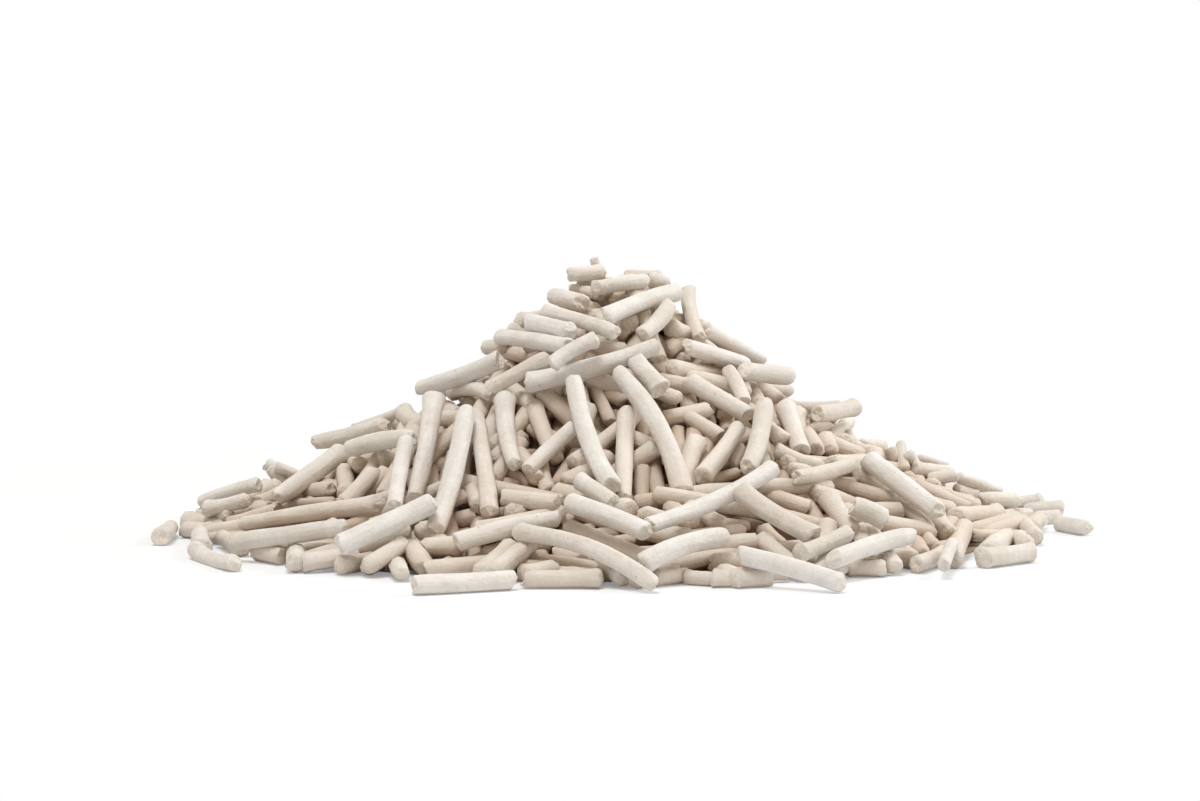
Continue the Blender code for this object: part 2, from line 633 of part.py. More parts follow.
def lay_heap():
    """Lays every pellet, the bedded ones first. Returns the bedded ones, and the loose ones by name."""
    sight, heap = Sight(), Heap()
    bedded, loose = [], {}
    corners = 1.0 / math.cos(math.pi / BEDDED_SIDES)
    for pellet, ways in back_pellets():
        heap.settle(pellet, ways, loose=False)
        if not stands_out(pellet):
            heap.add(pellet, pellet.radius * corners)
            bedded.append(pellet)
    for row in BEDDED_ROWS:
        pellet, ways = pellet_from_row(sight, row, COVER_DEPTH)
        heap.settle(pellet, ways, loose=False)
        heap.add(pellet, pellet.radius * corners)
        bedded.append(pellet)
    for zone, rows in LOOSE_ROWS.items():
        for number, row in enumerate(rows, start=1):
            pellet, ways = pellet_from_row(sight, row, 0.3 * COVER_DEPTH)
            heap.settle(pellet, ways, loose=True)
            heap.add(pellet, pellet.radius)
            loose[f"pellet_{zone}_{number:02d}"] = pellet
    return bedded, loose


def new_collection(name):
    collection = bpy.data.collections.new(name)
    bpy.context.scene.collection.children.link(collection)
    return collection


def litter_material(name, colour):
    material = bpy.data.materials.new(name)
    material.use_nodes = True
    shader = material.node_tree.nodes["Principled BSDF"]
    shader.inputs["Base Color"].default_value = (*colour, 1.0)
    shader.inputs["Roughness"].default_value = ROUGHNESS
    shader.inputs["Metallic"].default_value = 0.0
    return material


def build_loose_pellet(name, pellet, collection):
    """One loose pellet: a short rod with broken edges at its two ends, bowed where the real one is."""
    curve = bpy.data.curves.new(name, "CURVE")
    curve.dimensions = "3D"
    curve.bevel_depth = pellet.radius
    curve.bevel_resolution = (LOOSE_SIDES - 4) // 2
    curve.use_fill_caps = True
    first, last = pellet.ends
    along = (last - first) / np.linalg.norm(last - first)
    middle = pellet.middle()
    stations = [
        (first, 1.0 - END_CHAMFER / pellet.radius),
        (first + along * END_CHAMFER, 1.0),
        (middle, 1.0),
        (last - along * END_CHAMFER, 1.0),
        (last, 1.0 - END_CHAMFER / pellet.radius),
    ]
    if pellet.bow == 0.0:
        del stations[2]
    origin = middle
    spline = curve.splines.new("POLY")
    spline.points.add(len(stations) - 1)
    for point, (place, width) in zip(spline.points, stations):
        point.co = (*(place - origin), 1.0)
        point.radius = width
    obj = bpy.data.objects.new(name, curve)
    obj.location = Vector(origin)
    collection.objects.link(obj)
    return obj


def build_bed(bedded, collection, helpers):
    """The bed: a solid mound turned from its profile, joined with every bedded pellet."""
    outline = bmesh.new()
    corners = [outline.verts.new((radius, 0.0, height)) for radius, height in bed_profile()]
    corners.append(outline.verts.new((0.0, 0.0, 0.0)))
    for upper, lower in zip(corners, corners[1:]):
        outline.edges.new((upper, lower))
    mesh = bpy.data.meshes.new("litter_bed")
    outline.to_mesh(mesh)
    outline.free()
    bed = bpy.data.objects.new("litter_bed", mesh)
    collection.objects.link(bed)
    turn = bed.modifiers.new("turn", "SCREW")
    turn.steps = turn.render_steps = BED_SECTORS
    turn.use_merge_vertices = True
    turn.merge_threshold = 0.00005

    rods = bmesh.new()
    for pellet in bedded:
        along = Vector(pellet.ends[1] - pellet.ends[0])
        place = Matrix.Translation(Vector(pellet.ends.mean(axis=0)))
        reach = pellet.radius / math.cos(math.pi / BEDDED_SIDES)
        bmesh.ops.create_cone(
            rods,
            cap_ends=True,
            segments=BEDDED_SIDES,
            radius1=reach,
            radius2=reach,
            depth=along.length,
            matrix=place @ along.to_track_quat("Z", "Y").to_matrix().to_4x4(),
        )
    mesh = bpy.data.meshes.new("bedded_pellets")
    rods.to_mesh(mesh)
    rods.free()
    helper = bpy.data.objects.new("bedded_pellets", mesh)
    helper.hide_render = True
    helper.display_type = "WIRE"
    helpers.objects.link(helper)
    join = bed.modifiers.new("join", "BOOLEAN")
    join.operation = "UNION"
    join.object = helper
    join.use_self = True
    return bed


def main():
    for obj in list(bpy.data.objects):
        bpy.data.objects.remove(obj)
    parts = new_collection("litter_heap")
    helpers = new_collection("helpers")
    bedded, loose = lay_heap()
    bed = build_bed(bedded, parts, helpers)
    bed.data.materials.append(litter_material("litter_bed", SHADES[1][1]))
    for index, (name, pellet) in enumerate(loose.items()):
        shade, colour = SHADES[index % len(SHADES)]
        obj = build_loose_pellet(name, pellet, parts)
        obj.data.materials.append(litter_material(f"{name}_{shade}", colour))


main()
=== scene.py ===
"""Dresses the poured heap of cat litter: hundreds of short rods of pressed plant fibre.

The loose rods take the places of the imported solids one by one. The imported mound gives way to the
rods that are fused into it, at the same places, and to the rods that fill the heap below them.
"""

import json
import logging
import math
import random
from dataclasses import dataclass, field
from enum import Enum
from typing import Iterator

import bmesh
import bpy
import numpy as np
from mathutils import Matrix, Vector


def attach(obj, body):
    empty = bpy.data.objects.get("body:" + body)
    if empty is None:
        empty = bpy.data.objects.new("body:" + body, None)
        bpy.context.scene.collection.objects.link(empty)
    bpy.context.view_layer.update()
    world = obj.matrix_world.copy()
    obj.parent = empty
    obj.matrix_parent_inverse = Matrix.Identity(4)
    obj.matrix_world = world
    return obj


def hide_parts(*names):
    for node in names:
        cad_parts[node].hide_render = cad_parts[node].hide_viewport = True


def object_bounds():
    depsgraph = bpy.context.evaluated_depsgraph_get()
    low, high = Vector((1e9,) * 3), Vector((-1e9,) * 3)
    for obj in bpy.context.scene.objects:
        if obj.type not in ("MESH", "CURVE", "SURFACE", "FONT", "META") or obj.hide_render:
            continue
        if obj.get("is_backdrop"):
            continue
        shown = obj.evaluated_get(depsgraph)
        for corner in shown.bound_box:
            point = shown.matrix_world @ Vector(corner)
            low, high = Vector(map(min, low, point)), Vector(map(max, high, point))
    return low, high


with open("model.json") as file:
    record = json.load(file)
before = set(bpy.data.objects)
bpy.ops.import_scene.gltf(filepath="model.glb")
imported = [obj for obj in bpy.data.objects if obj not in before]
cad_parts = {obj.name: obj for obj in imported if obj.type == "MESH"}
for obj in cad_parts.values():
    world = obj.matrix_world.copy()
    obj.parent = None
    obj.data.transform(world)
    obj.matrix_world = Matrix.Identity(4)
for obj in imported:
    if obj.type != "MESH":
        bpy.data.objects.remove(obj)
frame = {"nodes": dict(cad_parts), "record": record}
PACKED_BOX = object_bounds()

log = logging.getLogger("litter_heap")

MM = 0.001

# Below this a squared length counts as none
LEAST_SQUARE = 1e-18

# Range of the chance angles, in radians: a full turn
FULL_TURN = 6.3

# The rods that are fused into the mound, as the front elevation shows them, in millimetres:
# left end (across, up), right end (across, up) and thickness, from back to front
BEDDED_ROWS = (
    # Crown, from the bottom up
    (-17.0, 26.5, -11.0, 25.0, 2.6),
    (-20.2, 27.0, -17.8, 27.1, 2.2),
    (-1.6, 27.0, 0.2, 27.6, 2.1),
    (-7.3, 29.2, -5.2, 28.6, 2.2),
    (0.4, 29.9, 1.8, 28.6, 2.4),
    (-18.6, 30.3, -16.0, 30.0, 2.0),
    (7.6, 30.6, 11.2, 31.2, 2.4),
    (-16.6, 31.4, -14.0, 31.0, 2.6),
    (14.3, 33.7, 14.4, 30.6, 1.6),
    (-6.6, 34.4, -3.7, 32.5, 2.4),
    (-15.3, 34.2, -11.2, 34.6, 2.4),
    (-0.8, 34.3, 0.9, 35.1, 2.2),
    (3.0, 35.8, 7.6, 35.9, 1.8),
    (-7.0, 36.6, -3.0, 35.7, 1.8),
    (4.8, 37.6, 7.8, 37.0, 2.2),
    (-5.8, 37.2, -0.5, 37.4, 2.2),
    (1.6, 38.4, 6.6, 38.4, 2.0),
    (-7.6, 38.2, -2.2, 38.6, 2.4),
    (-1.6, 38.0, 0.8, 39.2, 2.2),
    (-3.6, 41.0, -2.8, 38.0, 1.3),
    # Shoulder
    (-28.0, 20.2, -17.4, 23.6, 2.2),
    (14.2, 27.4, 19.8, 25.4, 1.6),
    (7.6, 26.4, 9.8, 28.0, 2.6),
    (9.6, 25.0, 10.9, 24.9, 2.3),
    (6.2, 24.7, 8.7, 22.6, 2.7),
    (12.2, 24.5, 14.3, 23.4, 2.3),
    (20.6, 20.4, 20.8, 18.6, 1.9),
    (23.4, 20.4, 26.4, 20.2, 2.0),
    (24.8, 17.4, 24.6, 14.0, 2.2),
    # Middle
    (-4.0, 21.4, -1.0, 15.2, 2.0),
    (-1.8, 19.6, 1.2, 18.6, 2.2),
    (3.8, 15.2, 4.3, 12.2, 2.0),
    (4.2, 9.6, 4.2, 8.8, 2.0),
    (4.0, 8.0, 4.0, 3.0, 2.2),
    (6.0, 12.5, 6.8, 3.5, 2.6),
    (8.8, 19.6, 8.0, 17.6, 2.2),
    (10.8, 19.6, 11.8, 15.4, 2.8),
    (12.0, 14.2, 11.9, 11.7, 2.7),
    (14.2, 16.6, 14.3, 12.6, 2.4),
    (9.4, 14.2, 9.8, 8.5, 2.3),
    (14.3, 12.8, 12.8, 7.0, 2.2),
    (16.8, 16.2, 17.2, 13.6, 2.4),
    (19.0, 11.4, 17.6, 8.6, 2.2),
    (-13.2, 18.6, -14.0, 16.6, 2.8),
    (-11.0, 17.6, -9.9, 16.4, 2.6),
    (-13.4, 14.4, -7.0, 11.4, 2.6),
    (-9.2, 18.3, -5.4, 16.6, 2.4),
    (-13.4, 19.4, -8.6, 20.0, 2.6),
    (-23.0, 18.6, -19.8, 15.6, 2.4),
    (-25.4, 19.9, -19.8, 19.6, 2.2),
    (-20.0, 13.8, -19.4, 12.6, 2.6),
    (-15.2, 11.6, -14.2, 9.6, 2.0),
    (-8.8, 11.2, -10.4, 9.6, 2.0),
    (-5.8, 10.6, -9.4, 5.2, 2.6),
    (-4.4, 11.6, -3.2, 8.2, 2.0),
    (-11.6, 9.6, -10.4, 4.2, 2.4),
    (-19.4, 8.4, -13.0, 5.6, 2.4),
    (-20.0, 6.2, -15.4, 5.0, 2.4),
    (-7.6, 20.2, -7.2, 19.2, 1.8),
    # Left flank
    (-34.6, 15.4, -32.0, 14.6, 2.2),
    (-33.0, 16.9, -30.6, 15.2, 2.6),
    (-31.2, 18.6, -30.2, 17.0, 2.2),
    (-27.6, 18.2, -27.5, 16.8, 1.8),
    (-27.6, 11.4, -27.2, 8.0, 2.2),
    (-27.6, 14.8, -26.4, 13.2, 2.6),
    (-26.0, 17.4, -25.2, 15.8, 2.2),
    (-29.2, 19.0, -24.8, 16.6, 2.2),
    (-41.0, 14.2, -33.4, 17.0, 1.6),
    (-28.8, 8.0, -28.0, 4.5, 2.0),
    (-35.0, 8.2, -35.0, 7.0, 2.0),
    (-42.4, 8.2, -42.7, 7.6, 2.8),
    (-35.6, 9.9, -35.8, 9.3, 2.6),
    (-39.2, 9.4, -37.6, 7.6, 2.2),
    (-36.2, 6.0, -39.2, 3.8, 2.6),
    (-47.4, 5.0, -42.4, 4.6, 2.6),
    (-56.2, 3.6, -52.4, 5.2, 2.8),
    (-54.4, 9.0, -50.8, 6.8, 1.9),
    (-51.4, 9.2, -48.6, 8.7, 1.6),
    (-53.8, 8.2, -51.0, 5.6, 2.0),
    (-52.8, 8.4, -49.6, 7.2, 1.6),
    (-47.6, 3.6, -46.6, 2.4, 1.6),
    (-41.8, 5.2, -40.4, 5.6, 1.7),
    (-54.6, 1.9, -44.0, 3.0, 1.6),
    (-64.4, 2.9, -55.4, 5.6, 2.0),
    (-64.4, 1.0, -60.0, 0.8, 1.8),
    (-63.6, 2.0, -57.6, 3.2, 2.2),
    (-59.4, 1.2, -53.8, 2.4, 1.6),
    (-70.4, -1.5, -58.6, -0.9, 1.9),
    (-61.4, -3.8, -57.4, -5.6, 2.4),
    (-66.0, -2.8, -60.4, -2.6, 1.8),
    (-68.5, -1.8, -68.3, -4.3, 2.7),
    # Front
    (-40.6, -5.4, -37.4, -4.4, 2.4),
    (-35.4, -4.0, -31.6, -0.6, 2.0),
    (-33.0, 0.0, -29.0, 1.6, 2.4),
    (-24.6, 0.2, -21.4, 0.8, 2.6),
    (-24.8, 2.9, -21.6, 3.4, 2.0),
    (-21.6, -1.0, -17.6, -0.6, 2.0),
    (-18.0, 1.1, -14.8, 0.9, 2.2),
    (-16.6, -6.8, -9.6, -7.0, 1.8),
    (-9.0, -0.6, -5.8, 0.6, 2.4),
    (-13.6, 0.0, -9.2, 1.2, 2.4),
    (-4.8, -1.4, -3.4, -1.2, 1.8),
    (-3.6, -2.2, 0.2, -1.8, 2.2),
    (-1.4, -3.4, 3.0, -2.8, 2.0),
    (11.6, 5.6, 18.8, 7.6, 1.8),
    (7.8, -1.8, 12.6, -1.8, 2.2),
    (0.6, -5.0, 7.0, -4.6, 1.8),
    (17.6, -3.2, 22.4, -3.4, 1.8),
    (16.4, -7.6, 19.4, -7.8, 1.4),
    (0.6, 4.8, 2.8, 1.0, 2.2),
    (15.0, 1.6, 21.6, 1.4, 2.3),
    (12.2, -0.5, 20.4, -0.9, 2.1),
    (22.6, -1.4, 25.6, -4.0, 3.0),
    (8.0, -7.2, 19.0, -5.2, 2.3),
    (-9.6, -5.2, -5.4, -6.0, 2.3),
    (-20.4, -5.2, -10.6, -3.2, 2.6),
    (-26.4, 1.2, -25.4, -4.6, 2.8),
    (-33.6, -5.4, -29.8, -1.2, 2.5),
    (-46.4, -3.1, -41.8, -2.9, 1.6),
    (-51.0, -4.9, -41.4, -5.3, 2.7),
    (-51.7, -5.2, -51.7, -6.8, 3.0),
    (-40.6, -7.0, -42.4, -7.9, 2.6),
    (-38.6, -7.0, -33.0, -3.4, 2.6),
    (-17.6, -9.3, -10.6, -9.4, 2.6),
    (-9.4, -7.9, -1.0, -8.4, 2.2),
    (-9.8, -9.9, -3.0, -10.1, 2.7),
    (18.0, -8.4, 26.4, -8.2, 1.8),
    (6.4, -9.6, 11.6, -9.0, 2.3),
    (11.6, -9.3, 16.4, -9.6, 2.2),
    (16.8, -9.9, 20.6, -9.9, 2.6),
    (21.2, -10.2, 26.8, -9.9, 2.8),
    # Right flank
    (29.0, 17.8, 29.3, 16.2, 1.7),
    (28.8, 19.8, 34.0, 19.8, 1.6),
    (26.4, 19.1, 34.6, 19.1, 1.9),
    (30.6, 13.4, 33.4, 14.0, 2.6),
    (32.4, 11.6, 36.0, 15.4, 2.2),
    (35.8, 13.5, 37.8, 11.2, 1.4),
    (36.8, 13.8, 39.8, 12.9, 1.3),
    (38.0, 11.6, 41.0, 11.4, 2.2),
    (42.2, 11.4, 43.0, 9.4, 1.8),
    (44.0, 12.0, 44.6, 8.0, 1.6),
    (45.2, 10.6, 46.6, 8.2, 1.6),
    (46.6, 9.8, 51.0, 8.4, 1.4),
    (23.4, 11.4, 22.8, 8.6, 2.2),
    (24.8, 13.2, 26.4, 12.2, 1.8),
    (30.3, 11.4, 33.0, 10.2, 1.7),
    (33.4, 11.9, 37.6, 10.0, 2.6),
    (26.0, 8.2, 25.2, 3.6, 2.6),
    (23.4, 6.6, 22.8, 3.8, 1.8),
    (27.4, 2.6, 32.8, 5.2, 2.4),
    (33.6, 5.9, 39.4, 5.2, 2.4),
    (29.2, 2.6, 31.2, -0.6, 2.8),
    (38.6, 4.2, 46.4, -0.4, 2.4),
    (44.8, 2.2, 48.2, -0.9, 2.2),
    (41.4, 7.6, 43.5, 3.6, 2.2),
    (38.6, -1.2, 42.8, -0.4, 2.0),
    (41.4, -5.2, 48.4, -6.4, 2.6),
    (47.4, -2.2, 49.0, -4.0, 2.6),
    (50.4, -2.0, 52.0, -0.2, 2.6),
    (45.8, 8.2, 51.5, 7.4, 2.2),
    (48.4, 6.4, 52.4, 7.2, 2.0),
    (52.4, 6.4, 56.2, 5.4, 2.5),
    (56.0, 3.2, 61.6, 3.2, 2.6),
    (48.6, 4.4, 54.6, 2.9, 2.4),
    (61.8, 3.8, 65.8, 4.2, 2.0),
    (63.0, 1.4, 69.0, 2.0, 2.4),
    (52.4, 0.8, 58.8, 1.2, 2.7),
    (56.6, -1.6, 64.0, 0.2, 2.6),
    (52.9, -5.8, 54.8, -0.8, 2.9),
    (38.4, 14.0, 40.8, 12.8, 1.4),
    (53.0, 7.4, 59.4, 5.0, 1.8),
    (57.2, -2.2, 65.8, -2.6, 2.2),
    (64.8, 0.6, 68.4, 1.0, 1.8),
    (68.0, -1.0, 69.8, -2.6, 2.6),
    (52.0, -3.2, 50.6, -6.8, 1.8),
    (38.2, -6.4, 39.6, -7.4, 2.9),
    (42.0, -8.5, 47.6, -8.4, 2.5),
)


class ShaderInput(Enum):
    """Sockets of the Principled shader that the finishes set or link."""

    COLOUR = "Base Color"
    ROUGHNESS = "Roughness"
    SPECULAR = "Specular IOR Level"
    NORMAL = "Normal"


@dataclass
class HeapForm:
    """The sizes of the heap and its rods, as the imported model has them, in metres."""

    radius: float = 0.075
    height: float = 0.0415
    flank_share: float = 0.947
    flank_curve: float = 1.28
    crown_share: float = 0.10
    crown_radius_share: float = 0.253
    cover_depth: float = 0.0030
    bed_sag: float = 0.0014
    bed_foot_share: float = 0.89
    bed_rings: int = 9
    rod_diameter: float = 0.0027
    shortest_rod: float = 0.007
    longest_rod: float = 0.025
    back_rods: int = 240
    highest_above_surface: float = 0.0007
    bedded_overlap: float = 0.0003
    floor_gap: float = 0.00004
    touching: float = 0.00002
    # Painted shade grows with depth below the heap's surface, painted soft shade starts just above it,
    # and crown_light takes part of the painted shade off under the crown as painted backlight
    shade_start: float = 0.0012
    shade_depth: float = 0.0064
    shade_curve: float = 1.3
    soft_shade_start: float = -0.0010
    soft_shade_depth: float = 0.0052
    crown_light: float = 0.6
    core_depth: float = 0.0082

    def crown_radius(self) -> float:
        """Radius of the heap's rounded crown."""
        return self.crown_radius_share * self.radius

    def surface(self, radius: np.ndarray | float) -> np.ndarray:
        """Height of the heap's outer surface.

        Args:
            radius: distance from the middle of the heap, in metres.

        Returns:
            The height above the floor, in metres.
        """
        share = np.clip(1.0 - np.asarray(radius) / self.radius, 0.0, 1.0)
        flank = self.flank_share * share**self.flank_curve
        crown = self.crown_share * np.exp(-((np.asarray(radius) / self.crown_radius()) ** 4))
        return self.height * np.minimum(flank + crown, 1.0)

    def cover(self, points: np.ndarray) -> np.ndarray:
        """Height of the heap's surface above each point."""
        return self.surface(np.hypot(points[:, 0], points[:, 1])) - points[:, 2]

    def rod_cover(self, rod: "Rod") -> float:
        """Height of the heap's surface above the middle of a rod."""
        return float(self.cover(rod.ends.mean(axis=0)[None])[0])

    def deep(self, points: np.ndarray) -> np.ndarray:
        """Works out the painted shade of points, by how deep they lie inside the heap.

        Args:
            points: the points, one row each, in metres.

        Returns:
            From 0.0 at the heap's surface to 1.0 of painted shade in its gaps, less under the crown as
            painted backlight.
        """
        radius = np.hypot(points[:, 0], points[:, 1])
        crown = np.exp(-((radius / self.crown_radius()) ** 2))
        share = np.clip((self.cover(points) - self.shade_start) / self.shade_depth, 0.0, 1.0)
        return share**self.shade_curve * (1.0 - self.crown_light * crown)

    def soft_shade(self, points: np.ndarray) -> np.ndarray:
        """How much painted soft shade points get, from 0.0 just above the heap's surface to 1.0 further
        down.
        """
        return np.clip((self.cover(points) - self.soft_shade_start) / self.soft_shade_depth, 0.0, 1.0)

    def bed_profile(self) -> np.ndarray:
        """Works out the mound's outline below its rods.

        Returns:
            Rows of distance from the middle and height, top to bottom, in metres.
        """
        foot = self.radius * self.bed_foot_share
        points = []
        for ring in range(self.bed_rings + 1):
            radius = foot * (ring / self.bed_rings)
            outer = float(self.surface(radius))
            step = 0.01 * self.radius
            fall = (outer - float(self.surface(radius + step))) / step
            depth = self.cover_depth + self.bed_sag * math.sin(math.pi * ring / self.bed_rings)
            height = outer - depth * math.hypot(1.0, fall)
            points.append((radius, max(height, 0.4 * self.rod_diameter)))
        points.append((foot, 0.0))
        return np.array(points)


@dataclass
class Eye:
    """Where the elevation is drawn from, and the lines of sight through it."""

    distance: float = 0.45
    elevation: float = math.radians(7.0)
    line_above_table: float = 0.0012
    drawn_thickness: float = 2.7

    def forward(self) -> np.ndarray:
        """Unit vector from the eye to the foot of the heap's middle line."""
        return np.array((0.0, math.cos(self.elevation), -math.sin(self.elevation)))

    def up(self) -> np.ndarray:
        """Unit vector that points up in the elevation."""
        return np.array((0.0, math.sin(self.elevation), math.cos(self.elevation)))

    def place(self) -> np.ndarray:
        """The eye's own place."""
        return -self.distance * self.forward()

    def seen(self, across: float, up: float) -> np.ndarray:
        """A place of the elevation, given in millimetres, as a point on the elevation's plane."""
        return np.array((across * MM, 0.0, 0.0)) + self.up() * (up * MM + self.line_above_table)

    def line(self, across: float, up: float) -> np.ndarray:
        """Unit vector from the eye through a place of the elevation.

        Args:
            across: millimetres to the right of the heap's middle.
            up: millimetres above the line that the elevation is measured from.

        Returns:
            The direction as a unit vector.
        """
        way = self.seen(across, up) - self.place()
        return way / np.linalg.norm(way)


@dataclass
class Rod:
    """One rod of litter: its two ends, its radius, and which way and how far it is bowed."""

    ends: np.ndarray
    radius: float
    bend: np.ndarray = field(default_factory=lambda: np.zeros(3))

    def length(self) -> float:
        """Distance between the rod's ends."""
        return float(np.linalg.norm(self.ends[1] - self.ends[0]))

    def core(self) -> tuple[np.ndarray, np.ndarray]:
        """Trims the last radius off each end of the rod's middle line.

        Returns:
            The first end and the last end of what is left.
        """
        along = self.ends[1] - self.ends[0]
        trim = along / self.length() * min(self.radius, 0.49 * self.length())
        return self.ends[0] + trim, self.ends[1] - trim


def lines_apart(
    start: np.ndarray, end: np.ndarray, starts: np.ndarray, ends: np.ndarray
) -> np.ndarray:
    """Measures how far one straight line is from others.

    Args:
        start: first end of the line.
        end: its last end.
        starts: first ends of the others, one row each.
        ends: their last ends.

    Returns:
        The least distance to each of the others.
    """
    along, others = end - start, ends - starts
    offset = start - starts
    square = np.maximum((along * along).sum(-1), LEAST_SQUARE)
    squares = np.maximum((others * others).sum(-1), LEAST_SQUARE)
    offset_along = (along * offset).sum(-1)
    offset_others = (others * offset).sum(-1)
    both = (along * others).sum(-1)
    spread = square * squares - both * both
    free = (both * offset_others - offset_along * squares) / np.maximum(spread, LEAST_SQUARE)
    share = np.where(spread > LEAST_SQUARE, np.clip(free, 0.0, 1.0), 0.0)
    other_share = (both * share + offset_others) / squares
    at_start = np.clip(-offset_along / square, 0.0, 1.0)
    at_end = np.clip((both - offset_along) / square, 0.0, 1.0)
    share = np.where(other_share < 0.0, at_start, np.where(other_share > 1.0, at_end, share))
    other_share = np.clip(other_share, 0.0, 1.0)
    between = (start + share[..., None] * along) - (starts + other_share[..., None] * others)
    return np.linalg.norm(between, axis=-1)


@dataclass
class BedLayout:
    """Finds the places of the mound's fused rods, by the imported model's own rule."""

    form: HeapForm
    eye: Eye
    most_pushes: int = 400
    samples: int = 7
    sunk_share: float = 0.4
    deepest_pull: float = 4.0
    deepest_end_pull: float = 2.0
    sight_before: float = 1.3
    sight_behind: float = 0.2
    sight_steps: int = 500
    back_seed: int = 5
    back_reach: float = 0.9
    back_start: float = 0.12
    back_usual_length: float = 1.2
    back_thickness: tuple[float, float] = (0.88, 1.05)
    back_rise: float = 1.2

    def __post_init__(self) -> None:
        """Starts with nothing laid."""
        self.profile = self.form.bed_profile()
        self.starts = np.empty((0, 3))
        self.ends = np.empty((0, 3))
        self.radii = np.empty(0)
        self.rods: list[Rod] = []

    def above_bed(self, points: np.ndarray) -> np.ndarray:
        """Measures how far points are from the mound.

        Args:
            points: the points, one row each, in metres.

        Returns:
            The distance of each point, below zero inside the mound.
        """
        flat = np.stack((np.hypot(points[:, 0], points[:, 1]), points[:, 2]), axis=1)
        starts, ends = self.profile[:-1], self.profile[1:]
        along = ends - starts
        offset = flat[:, None, :] - starts[None]
        share = np.clip((offset * along).sum(-1) / (along**2).sum(-1), 0.0, 1.0)
        away = offset - share[..., None] * along
        distance = np.sqrt((away**2).sum(-1)).min(axis=1)
        height = np.interp(flat[:, 0], self.profile[:, 0], self.profile[:, 1], right=-1.0)
        return np.where(flat[:, 1] < height, -distance, distance)

    def room(self, rod: Rod, on_floor: bool = False) -> float:
        """Measures the spare room between a rod and everything that is laid.

        Args:
            rod: the rod.
            on_floor: whether the floor is left out, for a rod that slides along it.

        Returns:
            The spare distance, below zero where the rod is too near.
        """
        start, end = rod.core()
        samples = start + np.linspace(0.0, 1.0, self.samples)[:, None] * (end - start)
        least = float(self.above_bed(samples).min()) + self.sunk_share * rod.radius
        if len(self.radii):
            gaps = lines_apart(start, end, self.starts, self.ends) - self.radii - rod.radius
            least = min(least, float(gaps.min()) + self.form.bedded_overlap)
        if not on_floor:
            lowest = min(rod.ends[0][2], rod.ends[1][2]) - rod.radius
            least = min(least, lowest - self.form.floor_gap)
        return least

    def pull_in(self, rod: Rod, ways: np.ndarray, limit: float, on_floor: bool = False) -> None:
        """Moves a rod back against its ways until it touches something, or not at all.

        Args:
            rod: the rod, which is moved.
            ways: the way out of the heap for each of its ends.
            limit: how far it may move, in metres.
            on_floor: whether the floor is left out, for a rod that slides along it.
        """
        before, moved = rod.ends.copy(), 0.0
        while moved < limit:
            step = min(self.room(rod, on_floor), limit - moved)
            if step < self.form.touching:
                return
            rod.ends -= ways * step
            moved += step
        rod.ends = before

    def settle(self, rod: Rod, ways: np.ndarray) -> None:
        """Lays a rod against the heap: out until it is clear, in until it touches, then down.

        Args:
            rod: the rod, which is moved.
            ways: the way out of the heap for each of its ends.
        """
        for _ in range(self.most_pushes):
            room = self.room(rod)
            if room >= 0.0:
                break
            rod.ends += ways * max(-room, self.form.touching)
        self.pull_in(rod, ways, self.deepest_pull * self.form.rod_diameter)
        for end in (0, 1, 0, 1):
            one_end = np.zeros((2, 3))
            one_end[end] = ways[end]
            spare = self.form.longest_rod - rod.length()
            self.pull_in(rod, one_end, min(self.deepest_end_pull * self.form.rod_diameter, spare))
        down = np.array(((0.0, 0.0, 1.0), (0.0, 0.0, 1.0)))
        self.pull_in(rod, down, self.form.height)
        outward = rod.ends.mean(axis=0) * (1.0, 1.0, 0.0)
        outward /= max(np.linalg.norm(outward), 1e-9)
        self.pull_in(rod, np.array((outward, outward)), self.form.radius, on_floor=True)

    def meeting_point(self, way: np.ndarray, depth: float, radius: float) -> np.ndarray:
        """Finds where a line of sight meets the heap's lowered surface, or passes it nearest.

        Args:
            way: the line's direction from the eye.
            depth: how far the surface is lowered, in metres.
            radius: the rod's radius, which counts as the surface's least height.

        Returns:
            The point, in metres.
        """
        form, eye = self.form, self.eye
        first = eye.distance - self.sight_before * form.radius
        last = eye.distance + self.sight_behind * form.radius
        points = eye.place() + np.linspace(first, last, self.sight_steps)[:, None] * way
        ground = form.surface(np.hypot(points[:, 0], points[:, 1])) - depth
        above = points[:, 2] - np.maximum(ground, radius)
        met = np.nonzero(above <= 0.0)[0]
        return points[met[0] if len(met) else int(np.argmin(above))]

    def rod_from_row(self, row: tuple[float, ...], depth: float) -> tuple[Rod, np.ndarray]:
        """The rod that a row of the elevation shows.

        Args:
            row: the row, in millimetres.
            depth: how far below the heap's surface the rod's ends start, in metres.

        Returns:
            The rod, and the way out of the heap for each of its ends.
        """
        eye = self.eye
        radius = 0.5 * self.form.rod_diameter * row[4] / eye.drawn_thickness
        lines = np.array([eye.line(row[0], row[1]), eye.line(row[2], row[3])])
        ends = np.array([self.meeting_point(line, depth, radius) for line in lines])
        near, far = sorted((0, 1), key=lambda end: np.linalg.norm(ends[end] - eye.place()))
        while np.linalg.norm(ends[far] - ends[near]) > self.form.longest_rod:
            if np.linalg.norm(ends[far] - eye.place()) < np.linalg.norm(ends[near] - eye.place()):
                break
            ends[far] -= lines[far] * self.form.touching
        nearness = np.linalg.norm(ends.mean(axis=0) - eye.place()) / eye.distance
        return Rod(ends, radius * nearness), -lines

